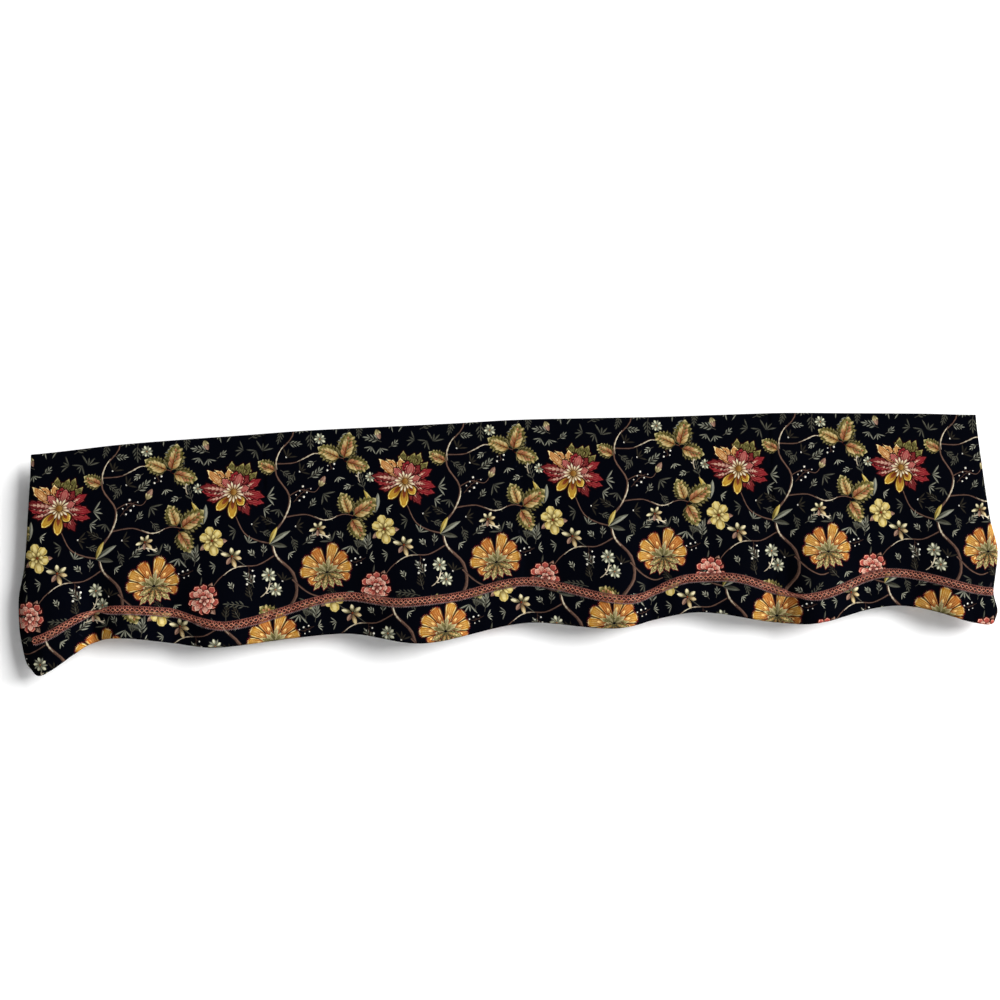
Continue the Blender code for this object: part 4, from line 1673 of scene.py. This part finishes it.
def joined_object(name, parts):
    """One object from the vertices and faces of many parts."""
    vertices, faces = [], []
    for more, sides in parts:
        faces += [tuple(len(vertices) + k for k in face) for face in sides]
        vertices += np.asarray(more).tolist()
    mesh = bpy.data.meshes.new(name)
    mesh.from_pydata(vertices, [], faces)
    return add_object(name, mesh)


def stitched_lines():
    """The lines of stitching, each on the front and again on the turning behind."""
    half = CLOTH_THICK / 2 + 0.05 * MM
    lines = [(STITCHED_ACROSS, PANEL.top.line(STITCHED_ACROSS) + STITCHES_FROM_TOP, PANEL.top),
             (STITCHED_ACROSS, hem_drop(STITCHED_ACROSS) - STITCHES_FROM_HEM, BAND.bottom)]
    for side in (-1, 1):
        edge = side_edge(np.full_like(STITCHED_DOWN, side * SIDE_START), STITCHED_DOWN)
        lines.append((side * (edge - STITCHES_FROM_SIDE), STITCHED_DOWN, SIDE_TURNING))
    return [(across, drop, depth) for across, drop, turning in lines
            for depth in (-half, 2 * turning.radius + half)]


stitches = joined_object("stitches", [stitch_row(*line) for line in stitched_lines()])
# Dull and nearly as dark as the ground, so a stitch shows only on the lighter motifs.
thread = new_material("dark_sewing_thread", {
    "Base Color": linear("#030407"), "Roughness": 0.9, "Specular IOR Level": 0.05})
stitches.data.materials.append(thread[0])
print("stitches:", len(stitches.data.polygons), "faces")

# %% [markdown]
# ## The braid
# Gimp braid is made of cords wound with thread. Two cords wave against each other down its
# middle and leave a row of lozenge openings, with a flat core thread behind. On both sides runs
# a row of slanting loops, and the lower edge is finished with small picots. Above the upper
# loops lies a thin dark-red thread that paints the braid's shadow line on the cloth. A braid
# could be a flat strip with a bumpy texture, but the cords and the openings show, so each cord
# is a swept tube with an oval section, laid on the hung cloth along the seam.

# %% The path of the braid
LOZENGE_PITCH = LOZENGE_PITCH_MM * MM
BRAID_LEFT, BRAID_RIGHT = -977 * MM, 991 * MM
BRAID_BACK = CLOTH_THICK / 2 + 0.1 * MM
BRAID_PINCHES_MM = (
    # place, reach, share of the width lost
    (-853, 19, 0.74), (-905, 40, 0.12), (-673, 24, 0.22), (267, 20, 0.2), (565, 25, 0.58),
)

seam_across = np.linspace(BRAID_LEFT, BRAID_RIGHT, 4000)
seam_down = seam_drop(seam_across)
seam_length = length_along(np.stack([seam_across, seam_down], axis=1))
BRAID_LENGTH = float(seam_length[-1])


def braid_width(across):
    """Share of the full width: the braid is squeezed in places, and its left end is rounded."""
    share = np.ones_like(across)
    for place, reach, squeeze in BRAID_PINCHES_MM:
        share -= squeeze * np.exp(-((across / MM - place) / reach) ** 2)
    end = np.clip((across - BRAID_LEFT) / (7 * MM), 0.0, 1.0)
    return share * np.sqrt(1.0 - 0.75 * (1.0 - end) ** 2)


def on_braid(along, down, height):
    """A place on the braid: along the seam, down across it, and out from the cloth."""
    across = np.interp(along, seam_length, seam_across)
    down = down * braid_width(across)
    drop = np.interp(along, seam_length, seam_down)
    slope = (seam_drop(across + MM) - seam_drop(across - MM)) / (2 * MM)
    size = np.hypot(1.0, slope)
    across, drop = across - down * slope / size, drop + down / size
    return on_hung(across, drop, -(BRAID_BACK + height))


def tube(path, outward, half_width, half_thick, sides):
    """Vertices and quads of an oval tube along a path, with closed ends."""
    ahead = unit(np.gradient(path, axis=0))
    across = unit(np.cross(ahead, outward))
    outward = unit(np.cross(across, ahead))
    turns = 2 * np.pi * (np.arange(sides) + 0.5) / sides
    ring = (half_width * np.cos(turns)[None, :, None] * across[:, None, :]
            + half_thick * np.sin(turns)[None, :, None] * outward[:, None, :])
    vertices = (path[:, None, :] + ring).reshape(-1, 3)
    faces = []
    for k in range(len(path) - 1):
        for j in range(sides):
            i = (j + 1) % sides
            faces.append((k * sides + j, k * sides + i, (k + 1) * sides + i, (k + 1) * sides + j))
    faces.append(tuple(range(sides))[::-1])
    faces.append(tuple(range(len(vertices) - sides, len(vertices))))
    return vertices, faces


def cord(along, down, height, half_width, half_thick, sides):
    """A cord of the braid, with the length along it for its winding."""
    path = on_braid(along, down, height)
    outward = unit(on_braid(along, down, height + MM) - path)
    vertices, faces = tube(path, outward, half_width, half_thick, sides)
    return vertices, faces, np.repeat(length_along(path), sides)


def build_cords(name, *cords):
    """Join cords into one object, with their winding lengths kept on the points."""
    result = joined_object(name, [part[:2] for part in cords])
    mesh = result.data
    mesh.polygons.foreach_set("use_smooth", np.ones(len(mesh.polygons), bool))
    add_values(mesh, "winding", "FLOAT", "POINT", np.concatenate([part[2] for part in cords]))
    print(name, len(mesh.vertices), "vertices")
    return result


print("the braid is", round(BRAID_LENGTH, 3), "m long")

# %% Cords of the braid
LATTICE_DOWN = -0.4 * MM           # where the row of lozenges lies across the braid
LATTICE_SWING = 3.5 * MM
LATTICE_LIFT = 0.5 * MM            # how far a cord rises and dips as it passes over and under


def lattice_cord(side):
    """One of the two waving cords. side is 1 or -1."""
    along = np.arange(0.0, BRAID_LENGTH, LOZENGE_PITCH / 6)
    phase = np.pi * along / LOZENGE_PITCH
    height = 1.5 * MM + side * LATTICE_LIFT * np.sign(np.cos(phase)) * np.abs(np.cos(phase))
    return cord(along, LATTICE_DOWN + side * LATTICE_SWING * np.sin(phase), height,
                0.9 * MM, 0.6 * MM, 6)


def looped_cord(down, pitch, reach, slant, half_width, steps=9, height=1.05 * MM):
    """A cord in slanting loops, reach to both sides of a line along the braid."""
    turn = np.arange(0.0, 2 * np.pi * (BRAID_LENGTH - 4 * MM) / pitch, 2 * np.pi / steps)
    along = 2 * MM + pitch * turn / (2 * np.pi) + slant * np.cos(turn + 0.9)
    return cord(along, down + reach * np.cos(turn), height + 0.4 * MM * np.sin(turn),
                half_width, 0.6 * MM, 5)


def flat_thread(down, half_width):
    along = np.arange(0.0, BRAID_LENGTH, LOZENGE_PITCH / 2)
    return cord(along, down + 0.0 * along, 0.35 * MM, half_width, 0.25 * MM, 4)


braid_lattice = build_cords("braid_lattice", lattice_cord(1), lattice_cord(-1))
braid_loops = build_cords(
    "braid_loops",
    looped_cord(down=-6.3 * MM, pitch=LOZENGE_PITCH / 2, reach=1.9 * MM, slant=1.9 * MM,
                half_width=0.66 * MM),
    looped_cord(down=5.6 * MM, pitch=LOZENGE_PITCH / 2, reach=1.7 * MM, slant=-1.9 * MM,
                half_width=0.66 * MM))
braid_picots = build_cords(
    "braid_picots",
    looped_cord(down=8.6 * MM, pitch=3.2 * MM, reach=1.1 * MM, slant=0.7 * MM,
                half_width=0.5 * MM, steps=6, height=0.8 * MM))
braid_core_and_shadow_line = build_cords(
    "braid_core_and_shadow_line",
    flat_thread(down=LATTICE_DOWN, half_width=2.0 * MM),
    # a thin dark-red thread above the upper loops: a painted shadow line of the braid
    flat_thread(down=-8.9 * MM, half_width=0.7 * MM))

# %% [markdown]
# The cords are wound with soft viscose thread, which has more sheen than the cotton. The
# winding is a fine ripple along each cord. The colour isn't quite even, because the threads
# were dyed before they were wound, so it is darker in patches.

# %% Cord materials
WINDING = 0.9 * MM                 # coarser than real thread, so that it shows at all
WOUND = (
    ("ripple", "winding", ("MULTIPLY", TURN / WINDING), ("SINE",)),
    ("patches", "place", ("NOISE", 6.0, 3.0), ("RANGE", 0.35, 0.65)),
)


def cord_material(name, light, dark):
    """Wound viscose: a soft broad sheen over a rippled surface."""
    material, tree, shader = new_material(name, {
        "Roughness": 0.55, "Specular IOR Level": 0.3, "Sheen Weight": 0.08,
        "Sheen Roughness": 0.4})
    winding = add_node(tree, "ShaderNodeAttribute", attribute_name="winding")
    known = {"winding": winding.outputs["Fac"],
             "place": add_node(tree, "ShaderNodeTexCoord").outputs["Object"]}
    follow(tree, known, WOUND)
    bump = add_node(tree, "ShaderNodeBump", {
        "Strength": 0.6, "Distance": 0.12 * MM, "Height": known["ripple"]})
    colour = layered(tree, known, linear(light), [("patches", linear(dark))])
    tree.links.new(colour, shader.inputs["Base Color"])
    tree.links.new(bump.outputs[0], shader.inputs["Normal"])
    return material


# The dark red of the core also colours the thin thread that paints the braid's shadow line.
for piece, name, light, dark in (
        (braid_lattice, "dusty_pink", "#BE7E64", "#96523E"),
        (braid_loops, "old_rose", "#965040", "#582418"),
        (braid_picots, "lilac_grey", "#8A7674", "#5E4848"),
        (braid_core_and_shadow_line, "dark_red_core_and_painted_shadow_line", "#200606", "#160404")):
    piece.data.materials.append(cord_material(f"wound_viscose_cord_{name}", light, dark))
print("four cord materials")

# %% [markdown]
# ## Joining the frame
# Every new piece rides on the one body of the frame. The printed pieces and the braid take the
# places of the solids that stood for them. The two cloths are declared as sheets with the flat
# size that was cut, which is checked against what was modelled.

# %% Hand over to the frame
BRAID_PIECES = [braid_lattice, braid_loops, braid_picots, braid_core_and_shadow_line]
for piece in (panel, band, stitches, *BRAID_PIECES):
    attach(piece, "root")
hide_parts("panel")
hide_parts("band")
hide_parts("braid")
for piece, cut in ((panel, PANEL), (band, BAND)):
    outline = PATTERNS[cut.name]
